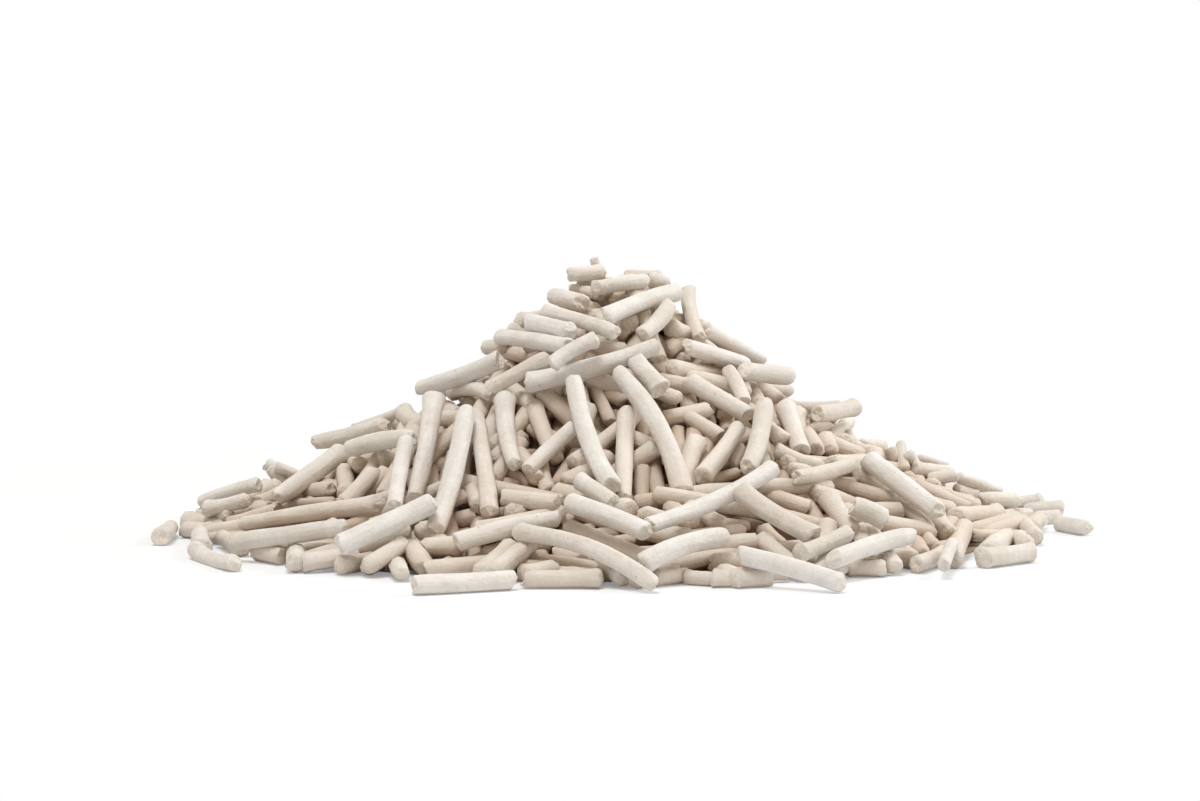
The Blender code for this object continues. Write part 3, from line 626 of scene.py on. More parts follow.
    def back_rods(self) -> Iterator[tuple[Rod, np.ndarray]]:
        """Draws the rods for the back of the heap, spread like the seeds of a sunflower.

        Yields:
            Each rod, and the way out of the heap for each of its ends.
        """
        form = self.form
        chance = random.Random(self.back_seed)
        golden = math.pi * (3.0 - math.sqrt(5.0))
        for index in range(2 * form.back_rods):
            radius = form.radius * self.back_reach * math.sqrt((index + 0.5) / (2 * form.back_rods))
            azimuth = index * golden
            centre = np.array((radius * math.cos(azimuth), radius * math.sin(azimuth)))
            usual = self.back_usual_length * form.shortest_rod
            length = chance.triangular(form.shortest_rod, form.longest_rod, usual)
            heading = chance.uniform(0.0, math.pi)
            thickness = chance.uniform(*self.back_thickness)
            if centre[1] < self.back_start * form.radius:
                continue
            half = 0.5 * length * np.array((math.cos(heading), math.sin(heading)))
            ends = []
            for place in (centre - half, centre + half):
                height = float(form.surface(np.hypot(*place))) - form.cover_depth
                ends.append((*place, max(height, 0.5 * form.rod_diameter)))
            outward = np.array((centre[0], centre[1], 0.0)) / max(radius, 1e-9)
            way = outward + np.array((0.0, 0.0, self.back_rise))
            way /= np.linalg.norm(way)
            yield Rod(np.array(ends), 0.5 * form.rod_diameter * thickness), np.array((way, way))

    def stands_out(self, rod: Rod) -> bool:
        """Tells whether a rod rises above the heap and above a rod that lies on the floor.

        Args:
            rod: the rod.

        Returns:
            True where one of its ends or its middle is too high.
        """
        places = np.array((*rod.ends, rod.ends.mean(axis=0)))
        surface = self.form.surface(np.hypot(places[:, 0], places[:, 1]))
        allowed = np.maximum(surface, self.form.rod_diameter) + self.form.highest_above_surface
        return bool((places[:, 2] + rod.radius > allowed).any())

    def add(self, rod: Rod) -> None:
        """Lays a rod for good.

        Args:
            rod: the rod.
        """
        start, end = rod.core()
        self.starts = np.vstack((self.starts, start))
        self.ends = np.vstack((self.ends, end))
        self.radii = np.append(self.radii, rod.radius)
        self.rods.append(rod)

    def lay(self) -> list[Rod]:
        """Lays every fused rod, those at the back first.

        Returns:
            The rods in their places.
        """
        for rod, ways in self.back_rods():
            self.settle(rod, ways)
            if not self.stands_out(rod):
                self.add(rod)
        for row in BEDDED_ROWS:
            rod, ways = self.rod_from_row(row, self.form.cover_depth)
            self.settle(rod, ways)
            self.add(rod)
        return self.rods


@dataclass
class Filling:
    """The rods inside the heap, laid wherever the covering rods leave room, the long ones first."""

    form: HeapForm
    rim: float = 0.0665
    rim_spread: float = 0.0025
    depths: tuple[float, ...] = (0.0031, 0.0038, 0.0046, 0.0055, 0.0066, 0.0078)
    tries: int = 6000
    longest: float = 0.019
    shortest: float = 0.0052
    deepest_cut: float = 0.0009
    length_spread: tuple[float, float] = (0.85, 1.15)
    thickness: tuple[float, float] = (0.88, 1.06)
    tilt: float = 0.2
    least_length_share: float = 0.8
    seed: int = 11

    def __post_init__(self) -> None:
        """Starts with nothing laid."""
        self.cores = np.empty((0, 2, 3))
        self.radii = np.empty(0)

    def add(self, rod: Rod) -> None:
        """Counts a rod among those that the next ones keep clear of."""
        self.cores = np.concatenate((self.cores, np.array(rod.core())[None]))
        self.radii = np.append(self.radii, rod.radius)

    def cut(self, rod: Rod) -> float:
        """Measures how deep a new rod would cut into those already there.

        Args:
            rod: the new rod.

        Returns:
            The depth in metres, zero or less where it cuts into none.
        """
        start, end = rod.core()
        spans = np.linalg.norm(self.cores[:, 1] - self.cores[:, 0], axis=1)
        away = np.linalg.norm(self.cores.mean(axis=1) - 0.5 * (start + end), axis=1)
        near = away < 0.5 * (spans + rod.length()) + self.form.rod_diameter
        if not near.any():
            return 0.0
        apart = lines_apart(start, end, self.cores[near, 0], self.cores[near, 1])
        return float((self.radii[near] + rod.radius - apart).max())

    def fits(self, rod: Rod) -> bool:
        """Whether a new rod is long enough and hardly cuts into those already there."""
        long_enough = rod.length() > self.least_length_share * self.shortest
        return long_enough and self.cut(rod) < self.deepest_cut

    def ways_at(self, radius: float, azimuth: float) -> tuple[np.ndarray, np.ndarray, np.ndarray]:
        """Directions on the heap's surface.

        Args:
            radius: distance from the middle of the heap, in metres.
            azimuth: angle round the middle.

        Returns:
            The ways downhill, level round the heap, and straight out of the surface.
        """
        outward = np.array((math.cos(azimuth), math.sin(azimuth), 0.0))
        around = np.array((-outward[1], outward[0], 0.0))
        step = 0.02 * self.form.radius
        fall = float(self.form.surface(radius) - self.form.surface(radius + step)) / step
        downhill = outward - np.array((0.0, 0.0, fall))
        downhill /= np.linalg.norm(downhill)
        above = np.cross(around, downhill)
        return downhill, around, above * math.copysign(1.0, above[2])

    def kept_inside(self, ends: np.ndarray, radius: float, limits: np.ndarray) -> np.ndarray:
        """Brings ends that have come out of the heap back under its covering rods.

        Args:
            ends: the rod's two ends.
            radius: the rod's radius.
            limits: how far from the middle of the heap each end may lie.

        Returns:
            The two ends inside the heap.
        """
        far = np.maximum(np.hypot(ends[:, 0], ends[:, 1]) / limits, 1.0)
        flat = ends[:, :2] / far[:, None]
        ceiling = self.form.surface(np.hypot(flat[:, 0], flat[:, 1])) - self.form.cover_depth
        height = np.maximum(np.minimum(ends[:, 2], ceiling), radius + self.form.floor_gap)
        return np.column_stack((flat, height))

    def fill(self, fixed: list[Rod]) -> list[Rod]:
        """Lays rods at random, each as near under the surface as there is room for it.

        Args:
            fixed: the rods that are there already.

        Returns:
            The rods that were laid.
        """
        for rod in fixed:
            self.add(rod)
        chance = np.random.default_rng(self.seed)
        laid = []
        for index in range(self.tries):
            away = self.rim * math.sqrt(chance.uniform())
            azimuth, heading = chance.uniform(0.0, 2.0 * math.pi), chance.uniform(0.0, math.pi)
            length = self.longest + (self.shortest - self.longest) * index / self.tries
            length *= chance.uniform(*self.length_spread)
            radius = 0.5 * self.form.rod_diameter * chance.uniform(*self.thickness)
            limits = self.rim - np.abs(chance.normal(0.0, self.rim_spread, 2))
            downhill, around, above = self.ways_at(away, azimuth)
            way = math.cos(heading) * downhill + math.sin(heading) * around
            way = way + above * chance.normal(0.0, self.tilt)
            way *= 0.5 * length / np.linalg.norm(way)
            top = away * np.array((math.cos(azimuth), math.sin(azimuth), 0.0))
            top[2] = self.form.surface(away)
            for depth in self.depths:
                middle = top - above * depth
                ends = self.kept_inside(np.array((middle - way, middle + way)), radius, limits)
                if self.fits(Rod(ends, radius)):
                    laid.append(Rod(ends, radius))
                    self.add(laid[-1])
                    break
        return laid


@dataclass
class RodMould:
    """The plain form that rods are shaped from: a prism with rings along it and inset ends."""

    sides: int
    spans: int
    tear: float = 1.0
    fullness: float = 1.0
    half_length: float = 4.0
    edge_wear: float = 0.2
    worn_steps: int = 1
    face_inset: float = 0.42

    def last_span(self) -> float:
        """Length of the plain form's last span, in radii."""
        return 2.0 * self.half_length / self.spans

    @staticmethod
    def rise(edge: bmesh.types.BMEdge) -> float:
        """How far an edge reaches along the rod, in radii."""
        return abs(edge.verts[0].co.z - edge.verts[1].co.z)

    def cast(self) -> bpy.types.Mesh:
        """Builds the plain form, one unit in radius, along its own Z.

        Returns:
            The form's mesh.
        """
        form = bmesh.new()
        bmesh.ops.create_cone(
            form,
            cap_ends=True,
            cap_tris=False,
            segments=self.sides,
            radius1=1.0,
            radius2=1.0,
            depth=2.0 * self.half_length,
        )
        bmesh.ops.bevel(
            form,
            geom=[edge for edge in form.edges if self.rise(edge) < 0.1],
            offset=self.edge_wear,
            offset_type="OFFSET",
            segments=self.worn_steps,
            profile=0.5,
            affect="EDGES",
            material=-1,
        )
        lengthwise = [edge for edge in form.edges if self.rise(edge) > 1.0]
        bmesh.ops.subdivide_edges(form, edges=lengthwise, cuts=self.spans - 1, use_grid_fill=True)
        caps = [face for face in form.faces if len(face.verts) == self.sides]
        bmesh.ops.inset_individual(
            form, faces=caps, thickness=self.face_inset, use_even_offset=True
        )
        bmesh.ops.poke(form, faces=caps)
        mesh = bpy.data.meshes.new("plain_rod")
        form.to_mesh(mesh)
        form.free()
        return mesh


@dataclass(frozen=True)
class RodWear:
    """How uneven the rods are, in shares of a rod's radius where nothing else is said."""

    waves: float = 0.028
    wave_rates: tuple[float, float] = (0.2, 0.9)
    oval: float = 0.035
    oval_twist: float = 0.15
    three_sided: float = 0.02
    three_sided_twist: float = 0.3
    taper: float = 0.008
    grain: float = 0.013
    end_reach: float = 1.1
    face_reach: float = 0.12
    slant: float = 0.26
    ragged: float = 0.09
    spur_odds: float = 0.3
    spur: tuple[float, float] = (0.35, 0.9)
    spur_angle: float = 0.65
    face_width: float = 0.9
    hollow: tuple[float, ...] = (-0.28, 0.12, 0.32, 0.46)
    crumbs: float = 0.12
    flares: tuple[float, ...] = (-0.12, -0.03, 0.05, 0.12, 0.20)
    flare_odds: tuple[float, ...] = (0.16, 0.24, 0.26, 0.22, 0.12)
    lopsided: float = 0.06
    chips: float = 0.06
    bow_share_of_length: float = 0.022


@dataclass
class RodShaper:
    """Gives each rod its own lumps, bow and broken ends."""

    mould: RodMould
    seed: int
    wear: RodWear = RodWear()
    pattern_spread: float = 400.0

    def __post_init__(self) -> None:
        """Casts the plain form and starts the chance numbers."""
        self.mesh = self.mould.cast()
        self.chance = np.random.default_rng(self.seed)
        count = len(self.mesh.vertices)
        plain = np.empty(count * 3)
        self.mesh.vertices.foreach_get("co", plain)
        self.plain = plain.reshape(count, 3)

    def lumps(self, along: np.ndarray, turn: np.ndarray) -> np.ndarray:
        """Share by which the rod is thicker or thinner.

        Args:
            along: place along the rod, in radii.
            turn: angle round the rod.

        Returns:
            A factor on the radius for each point.
        """
        chance, wear = self.chance, self.wear
        factor = np.ones_like(along)
        for _ in range(3):
            rate = chance.uniform(*wear.wave_rates)
            factor += wear.waves * np.sin(rate * along + chance.uniform(0.0, FULL_TURN))
        oval = 2.0 * turn + chance.uniform(0.0, FULL_TURN) + wear.oval_twist * along
        factor += wear.oval * np.cos(oval)
        sided = 3.0 * turn + chance.uniform(0.0, FULL_TURN) - wear.three_sided_twist * along
        factor += wear.three_sided * np.cos(sided)
        factor += along * chance.normal(0.0, wear.taper)
        return factor + chance.normal(0.0, wear.grain, len(along))

    def break_end(
        self, side: float, points: np.ndarray, turn: np.ndarray, near_end: np.ndarray
    ) -> tuple[np.ndarray, np.ndarray]:
        """Works out how one end is slanted, torn, flared or worn.

        Args:
            side: -1.0 for the first end, 1.0 for the last.
            points: the plain form's points, in radii.
            turn: angle of each point round the rod.
            near_end: 1.0 at this end, falling to 0.0 a little way in.

        Returns:
            How far each point moves along the rod, and its factor on the radius, both in radii.
        """
        chance, wear, tear = self.chance, self.wear, self.mould.tear
        outward = np.hypot(points[:, 0], points[:, 1])
        slant = abs(chance.normal(0.0, wear.slant))
        toward = chance.uniform(0.0, 2.0 * math.pi)
        moved = slant * (points[:, 0] * math.cos(toward) + points[:, 1] * math.sin(toward))
        moved = moved * near_end**2
        for waves in (2, 3, 5):
            ragged = np.cos(waves * turn + chance.uniform(0.0, FULL_TURN))
            moved += near_end**3 * wear.ragged * tear * ragged
        if chance.uniform() < wear.spur_odds:
            spur = tear * chance.uniform(*wear.spur)
            where = np.angle(np.exp(1j * (turn - chance.uniform(-math.pi, math.pi))))
            moved += near_end**3 * spur * np.exp(-((where / wear.spur_angle) ** 2)) * outward
        centre = np.clip(1.0 - outward / wear.face_width, 0.0, 1.0)
        moved += near_end * centre * chance.choice(wear.hollow)
        moved += near_end * (centre > 0.0) * tear * chance.normal(0.0, wear.crumbs, len(turn))
        flare = chance.choice(wear.flares, p=wear.flare_odds)
        lopsided = wear.lopsided * np.cos(turn + chance.uniform(0.0, FULL_TURN))
        widened = 1.0 + near_end * (flare + lopsided)
        widened *= 1.0 + near_end * tear * chance.normal(0.0, wear.chips, len(turn))
        return side * moved, widened

    def shape(self, rod: Rod) -> tuple[np.ndarray, np.ndarray, np.ndarray]:
        """Shapes one rod.

        Args:
            rod: the rod's place and size.

        Returns:
            The points in metres, the same points on the straight rod in millimetres, which the
            finish follows, and how much of a broken end each point is, from 0.0 to 1.0.
        """
        points = self.plain
        turn = np.arctan2(points[:, 1], points[:, 0])
        half = 0.5 * rod.length() / rod.radius
        along = self.stretched(half)
        factor = self.lumps(along, turn)
        shift = np.zeros_like(along)
        torn = np.zeros_like(along)
        for side in (-1.0, 1.0):
            depth = half - side * along
            near_end = np.clip(1.0 - depth / self.wear.end_reach, 0.0, 1.0)
            moved, widened = self.break_end(side, points, turn, near_end)
            shift += moved
            factor *= widened
            torn = np.maximum(torn, np.clip(1.0 - depth / self.wear.face_reach, 0.0, 1.0))
        offset = points[:, :2] * factor[:, None] * (rod.radius * self.mould.fullness)
        along = (along + shift) * rod.radius
        line = self.placed(rod, offset, along)
        pattern_place = self.chance.uniform(0.0, self.pattern_spread, 3)
        return line, np.column_stack((offset, along)) / MM + pattern_place, torn

    def stretched(self, half: float) -> np.ndarray:
        """Stretches the plain form to a rod's length, and keeps its last spans as they are.

        Args:
            half: half of the rod's length, in radii.

        Returns:
            The place of each point along the rod, in radii.
        """
        place, top = np.abs(self.plain[:, 2]), self.mould.half_length
        span = self.mould.last_span()
        kept = min(span, 0.5 * half)
        inner = place * (half - kept) / (top - span)
        outer = half - (top - place) * np.where(place > top - 0.5 * span, 1.0, kept / span)
        return np.sign(self.plain[:, 2]) * np.where(place > top - span - 0.01, outer, inner)

    def placed(self, rod: Rod, offset: np.ndarray, along: np.ndarray) -> np.ndarray:
        """Turns a rod about its own line at random, bows it and puts it in its place.

        Args:
            rod: the rod's place and size.
            offset: how far each point is from the rod's line, in metres.
            along: how far it is from the rod's middle, in metres.

        Returns:
            The points in metres.
        """
        chance = self.chance
        way = (rod.ends[1] - rod.ends[0]) / rod.length()
        side = np.cross(way, (0.0, 0.0, 1.0) if abs(way[2]) < 0.9 else (1.0, 0.0, 0.0))
        side /= np.linalg.norm(side)
        other = np.cross(way, side)
        roll = chance.uniform(0.0, 2.0 * math.pi)
        first = math.cos(roll) * side + math.sin(roll) * other
        last = np.cross(way, first)
        section = offset[:, :1] * first + offset[:, 1:] * last
        bend = rod.bend
        if not bend.any():
            aim = chance.uniform(0.0, 2.0 * math.pi)
            bend = (math.cos(aim) * side + math.sin(aim) * other) * rod.length()
            bend = bend * abs(chance.normal(0.0, self.wear.bow_share_of_length))
        share = along / (0.5 * rod.length())
        slope = -4.0 * share[:, None] / rod.length() * bend
        tip = (section * slope).sum(axis=1)
        line = rod.ends.mean(axis=0) + (along - tip)[:, None] * way
        return line + (1.0 - share**2)[:, None] * bend + section


@dataclass
class LitterPieces:
    """Makes finished pieces out of one rod or many, and the heap's core."""

    form: HeapForm
    seed: int
    sharp_angle: float = math.radians(62.0)
    core_share: float = 0.78
    core_rings: int = 40
    core_steps: int = 120
    core_foot: float = 0.2
    core_crumbs: float = 0.0004
    core_plain_foot: float = 0.25

    def __post_init__(self) -> None:
        """Starts the chance numbers for the rods' tones and the core's crumbs."""
        self.chance = np.random.default_rng(self.seed)

    def build(self, name: str, rods: list[Rod], shaper: RodShaper) -> bpy.types.Object:
        """Builds one piece.

        Args:
            name: the piece's name.
            rods: the rods that it is made of.
            shaper: gives the rods their form.

        Returns:
            The piece, at the origin, with its place in its mesh.
        """
        casting = bmesh.new()
        for _ in rods:
            casting.from_mesh(shaper.mesh)
        mesh = bpy.data.meshes.new(name)
        casting.to_mesh(mesh)
        casting.free()
        shaped = [shaper.shape(rod) for rod in rods]
        points = np.concatenate([points for points, _, _ in shaped])
        points[:, 2] = np.maximum(points[:, 2], 0.0)
        tones = np.concatenate([np.full(len(torn), self.chance.uniform()) for _, _, torn in shaped])
        straight = np.concatenate([place for _, place, _ in shaped])
        self.carry(mesh, points, straight, np.concatenate([torn for _, _, torn in shaped]), tones)
        mesh.set_sharp_from_angle(angle=self.sharp_angle)
        return self.link(mesh)

    def core(self, name: str) -> bpy.types.Object:
        """Turns the heap's crumbly core, which lies under the rods that can be told apart.

        Args:
            name: the piece's name.

        Returns:
            The piece, at the origin, with its place in its mesh.
        """
        form = self.form
        turned = bmesh.new()
        foot = form.radius * self.core_share
        outline = [turned.verts.new((0.0, 0.0, 0.0))]
        lowest = self.core_foot * form.rod_diameter
        for share in np.linspace(1.0, 0.0, self.core_rings):
            height = float(form.surface(foot * share)) - form.core_depth
            outline.append(turned.verts.new((foot * share, 0.0, max(height, lowest))))
        outline.insert(1, turned.verts.new((foot, 0.0, 0.0)))
        lines = [turned.edges.new(pair) for pair in zip(outline, outline[1:])]
        bmesh.ops.spin(
            turned,
            geom=[*outline, *lines],
            cent=(0.0, 0.0, 0.0),
            axis=(0.0, 0.0, 1.0),
            angle=2.0 * math.pi,
            steps=self.core_steps,
            use_merge=True,
        )
        bmesh.ops.remove_doubles(turned, verts=turned.verts, dist=1e-6)
        bmesh.ops.recalc_face_normals(turned, faces=turned.faces)
        mesh = bpy.data.meshes.new(name)
        turned.to_mesh(mesh)
        turned.free()
        points = np.empty(len(mesh.vertices) * 3)
        mesh.vertices.foreach_get("co", points)
        points = points.reshape(-1, 3)
        buried = (points[:, 2] > self.core_plain_foot * form.rod_diameter)[:, None]
        points = points + buried * self.chance.normal(0.0, self.core_crumbs, points.shape)
        # The whole core takes the darkest tone and the broken-end finish; its painted shade follows its
        # depth below the surface
        whole = np.ones(len(points))
        self.carry(mesh, points, points / MM, whole, whole)
        return self.link(mesh)

    def carry(
        self,
        mesh: bpy.types.Mesh,
        points: np.ndarray,
        straight: np.ndarray,
        torn: np.ndarray,
        tone: np.ndarray,
    ) -> None:
        """Moves the mesh's points and writes into it what its finish reads.

        Args:
            mesh: the piece's mesh.
            points: its points, in metres.
            straight: the places that its pattern follows, in millimetres.
            torn: how much of a broken end each point is.
            tone: how dark the rod of each point is.
        """
        mesh.vertices.foreach_set("co", points.ravel())
        self.write(mesh, "straight", "FLOAT_VECTOR", straight)
        self.write(mesh, "torn", "FLOAT", torn)
        self.write(mesh, "tone", "FLOAT", tone)
        # Painted shade and painted soft shade, by how far below the heap's surface each point lies
        self.write(mesh, "deep", "FLOAT", self.form.deep(points))
        self.write(mesh, "soft_shade", "FLOAT", self.form.soft_shade(points))
        mesh.update()
        mesh.shade_smooth()

    @staticmethod
    def link(mesh: bpy.types.Mesh) -> bpy.types.Object:
        """Puts a mesh into the scene as a piece of the same name.

        Args:
            mesh: the piece's mesh.

        Returns:
            The piece.
        """
        piece = bpy.data.objects.new(mesh.name, mesh)
        bpy.context.scene.collection.objects.link(piece)
        return piece

    @staticmethod
    def write(mesh: bpy.types.Mesh, name: str, kind: str, values: np.ndarray) -> None:
        """Writes one value per point into the mesh, under a name that the finish reads."""
        layer = mesh.attributes.new(name, kind, "POINT")
        layer.data.foreach_set("vector" if kind == "FLOAT_VECTOR" else "value", values.ravel())


@dataclass(frozen=True)
class FibreFinish:
    """Chalky pressed plant fibre, off-white, with faint streaks, rare specks and crumbly ends, and
    painted shade below the heap's surface.
    """

    name: str
    light: tuple[float, float, float]
    dark: tuple[float, float, float]
    crumb: tuple[float, float, float] = (0.78, 0.74, 0.68)
    speck: tuple[float, float, float] = (0.26, 0.20, 0.15)
    # Painted soft shade colour and painted shade colour, mixed in below the heap's surface
    glow: tuple[float, float, float] = (0.715, 0.615, 0.51)
    shade: tuple[float, float, float] = (0.29, 0.160, 0.085)
    roughness: float = 0.92
    specular: float = 0.25
    tones: tuple[float, float] = (-0.30, 0.45)
    most_crumb: float = 0.55
    most_soft_shade: float = 0.75
    most_shade: float = 0.85
    streak_stretch: tuple[float, float, float] = (1.5, 1.5, 0.14)
    grain_share: float = 0.55
    end_roughness: float = 2.2
    grain_height: float = 0.00016
    grain_strength: float = 0.75

    def material(self) -> bpy.types.Material:
        """Makes the finish's material.

        Returns:
            The material.
        """
        material = bpy.data.materials.new(self.name)
        material.use_nodes = True
        tree = material.node_tree
        shader = tree.nodes["Principled BSDF"]
        shader.inputs[ShaderInput.ROUGHNESS.value].default_value = self.roughness
        shader.inputs[ShaderInput.SPECULAR.value].default_value = self.specular
        place = self.attribute(tree, "straight", "Vector")
        torn = self.attribute(tree, "torn", "Fac")
        fibres = self.stretched(tree, place, self.streak_stretch)
        streak = self.noise(tree, fibres, scale=1.0, detail=2.0)
        colour = self.colour(tree, place, torn, streak)
        tree.links.new(colour, shader.inputs[ShaderInput.COLOUR.value])
        bump = tree.nodes.new("ShaderNodeBump")
        bump.inputs["Strength"].default_value = self.grain_strength
        bump.inputs["Distance"].default_value = self.grain_height
        tree.links.new(self.relief(tree, place, torn, streak), bump.inputs["Height"])
        tree.links.new(bump.outputs["Normal"], shader.inputs[ShaderInput.NORMAL.value])
        return material

    def colour(
        self,
        tree: bpy.types.NodeTree,
        place: bpy.types.NodeSocket,
        torn: bpy.types.NodeSocket,
        streak: bpy.types.NodeSocket,
    ) -> bpy.types.NodeSocket:
        """Mixes the fibre's colour: its blotches and streaks, broken ends and specks, then painted soft
        shade below the heap's surface and painted shade in its gaps.

        Args:
            tree: the material's nodes.
            place: the place on the straight rod, in millimetres.
            torn: how much of a broken end it is.
            streak: noise that is drawn out along the rod.

        Returns:
            The colour.
        """
        tone = self.attribute(tree, "tone", "Fac")
        # How much painted shade and painted soft shade each point carries
        deep = self.attribute(tree, "deep", "Fac")
        soft_shade = self.attribute(tree, "soft_shade", "Fac")
        mottle = self.noise(tree, place, scale=0.30, detail=3.0)
        powder = self.noise(tree, place, scale=1.3, detail=4.0)
        blotch = self.ranged(tree, mottle, (0.36, 0.66), (0.0, 0.75))
        streaks = self.ranged(tree, streak, (0.40, 0.68), (0.0, 0.35))
        toned = self.ranged(tree, tone, (0.0, 1.0), self.tones)
        powdered = self.ranged(tree, powder, (0.42, 0.62), (-0.12, 0.22))
        amount = self.maths(tree, "ADD", self.maths(tree, "ADD", blotch, streaks), toned)
        amount = self.maths(tree, "ADD", amount, powdered)
        amount.node.use_clamp = True
        colour = self.mixed(tree, amount, self.light, self.dark)
        broken = self.ranged(tree, torn, (0.1, 0.9), (0.0, self.most_crumb))
        colour = self.mixed(tree, broken, colour, self.crumb)
        colour = self.mixed(tree, self.specks(tree, place), colour, self.speck)
        # Painted soft shade: a lighter, warmer brown from just above the heap's surface down
        glow = self.ranged(tree, soft_shade, (0.0, 1.0), (0.0, self.most_soft_shade))
        colour = self.mixed(tree, glow, colour, self.glow)
        # Painted shade: dark brown, deeper in the heap's gaps, less under the crown
        shade = self.ranged(tree, deep, (0.0, 1.0), (0.0, self.most_shade))
        return self.mixed(tree, shade, colour, self.shade)

    def relief(
        self,
        tree: bpy.types.NodeTree,
        place: bpy.types.NodeSocket,
        torn: bpy.types.NodeSocket,
        streak: bpy.types.NodeSocket,
    ) -> bpy.types.NodeSocket:
        """Adds up the fibre's fine relief, which is rougher at the broken ends.

        Args:
            tree: the material's nodes.
            place: the place on the straight rod, in millimetres.
            torn: how much of a broken end it is.
            streak: noise that is drawn out along the rod.

        Returns:
            The height.
        """
        grain = self.noise(tree, place, scale=3.4, detail=4.0)
        crumbs = self.noise(tree, place, scale=1.9, detail=3.0)
        torn_crumbs = self.maths(tree, "MULTIPLY", crumbs, torn)
        rough_end = self.maths(tree, "MULTIPLY", torn_crumbs, self.end_roughness)
        fine = self.maths(tree, "MULTIPLY", grain, self.grain_share)
        height = self.maths(tree, "ADD", self.maths(tree, "ADD", fine, streak), crumbs)
        return self.maths(tree, "ADD", height, rough_end)

    @staticmethod
    def attribute(tree: bpy.types.NodeTree, name: str, output: str) -> bpy.types.NodeSocket:
        """Reads a value that the mesh carries.

        Args:
            tree: the material's nodes.
            name: the value's name.
            output: the kind of output that is read.

        Returns:
            The value.
        """
        node = tree.nodes.new("ShaderNodeAttribute")
        node.attribute_name = name
        return node.outputs[output]

    @staticmethod
    def stretched(
        tree: bpy.types.NodeTree, place: bpy.types.NodeSocket, scale: tuple[float, float, float]
    ) -> bpy.types.NodeSocket:
        """Scales a place along each of its axes.

        Args:
            tree: the material's nodes.
            place: the place.
            scale: a factor for each axis.

        Returns:
            The scaled place.
        """
        node = tree.nodes.new("ShaderNodeVectorMath")
        node.operation = "MULTIPLY"
        node.inputs[1].default_value = scale
        tree.links.new(place, node.inputs[0])
        return node.outputs["Vector"]

    @staticmethod
    def noise(
        tree: bpy.types.NodeTree, place: bpy.types.NodeSocket, scale: float, detail: float
    ) -> bpy.types.NodeSocket:
        """Lays cloudy noise over a place.

        Args:
            tree: the material's nodes.
            place: the place, in millimetres.
            scale: how many clouds there are to a millimetre.
            detail: how many finer clouds are added.

        Returns:
            The noise, from 0.0 to 1.0.
        """
        node = tree.nodes.new("ShaderNodeTexNoise")
        node.inputs["Scale"].default_value = scale
        node.inputs["Detail"].default_value = detail
        tree.links.new(place, node.inputs["Vector"])
        return node.outputs["Fac"]

    @staticmethod
    def ranged(
        tree: bpy.types.NodeTree,
        value: bpy.types.NodeSocket,
        taken: tuple[float, float],
        given: tuple[float, float],
    ) -> bpy.types.NodeSocket:
        """Maps a range of a value onto another range, without running past its limits.

        Args:
            tree: the material's nodes.
            value: the value.
            taken: the range it is taken from.
            given: the range it is mapped onto.

        Returns:
            The mapped value.
        """
        node = tree.nodes.new("ShaderNodeMapRange")
        node.clamp = True
        node.inputs["From Min"].default_value = taken[0]
        node.inputs["From Max"].default_value = taken[1]
        node.inputs["To Min"].default_value = given[0]
        node.inputs["To Max"].default_value = given[1]
        tree.links.new(value, node.inputs["Value"])
        return node.outputs["Result"]

    @staticmethod
    def maths(
        tree: bpy.types.NodeTree,
        operation: str,
        first: bpy.types.NodeSocket,
        second: bpy.types.NodeSocket | float,
    ) -> bpy.types.NodeSocket:
        """Joins two values, or a value and a number, by a sum or a product.

        Args:
            tree: the material's nodes.
            operation: the node's name for the sum or product.
            first: the first value.
            second: the second value, or a number.

        Returns:
            The result.
        """
        node = tree.nodes.new("ShaderNodeMath")
        node.operation = operation
        tree.links.new(first, node.inputs[0])
        if isinstance(second, float):
            node.inputs[1].default_value = second
        else:
            tree.links.new(second, node.inputs[1])
        return node.outputs["Value"]

    @staticmethod
    def mixed(
        tree: bpy.types.NodeTree,
        amount: bpy.types.NodeSocket,
        first: bpy.types.NodeSocket | tuple[float, float, float],
        second: tuple[float, float, float],
    ) -> bpy.types.NodeSocket:
        """Mixes a second colour into a first.

        Args:
            tree: the material's nodes.
            amount: how much of the second colour there is.
            first: the first colour.
            second: the second colour.

        Returns:
            The mixed colour.
        """
        node = tree.nodes.new("ShaderNodeMix")
        node.data_type = "RGBA"
        tree.links.new(amount, node.inputs["Factor"])
        if isinstance(first, tuple):
            node.inputs["A"].default_value = (*first, 1.0)
        else:
            tree.links.new(first, node.inputs["A"])
        node.inputs["B"].default_value = (*second, 1.0)
        return node.outputs["Result"]

    def specks(
        self, tree: bpy.types.NodeTree, place: bpy.types.NodeSocket
    ) -> bpy.types.NodeSocket:
        """Scatters rare specks of husk, about a fifth of a millimetre across.

        Args:
            tree: the material's nodes.
            place: the place on the straight rod, in millimetres.

        Returns:
            How much of a speck it is.
        """
        cells = tree.nodes.new("ShaderNodeTexVoronoi")
        cells.inputs["Scale"].default_value = 0.62
        tree.links.new(place, cells.inputs["Vector"])
        near = self.ranged(tree, cells.outputs["Distance"], (0.05, 0.085), (0.8, 0.0))
        split = tree.nodes.new("ShaderNodeSeparateColor")
        tree.links.new(cells.outputs["Color"], split.inputs["Color"])
        chosen = self.ranged(tree, split.outputs["Red"], (0.66, 0.80), (0.0, 1.0))
        return self.maths(tree, "MULTIPLY", near, chosen)


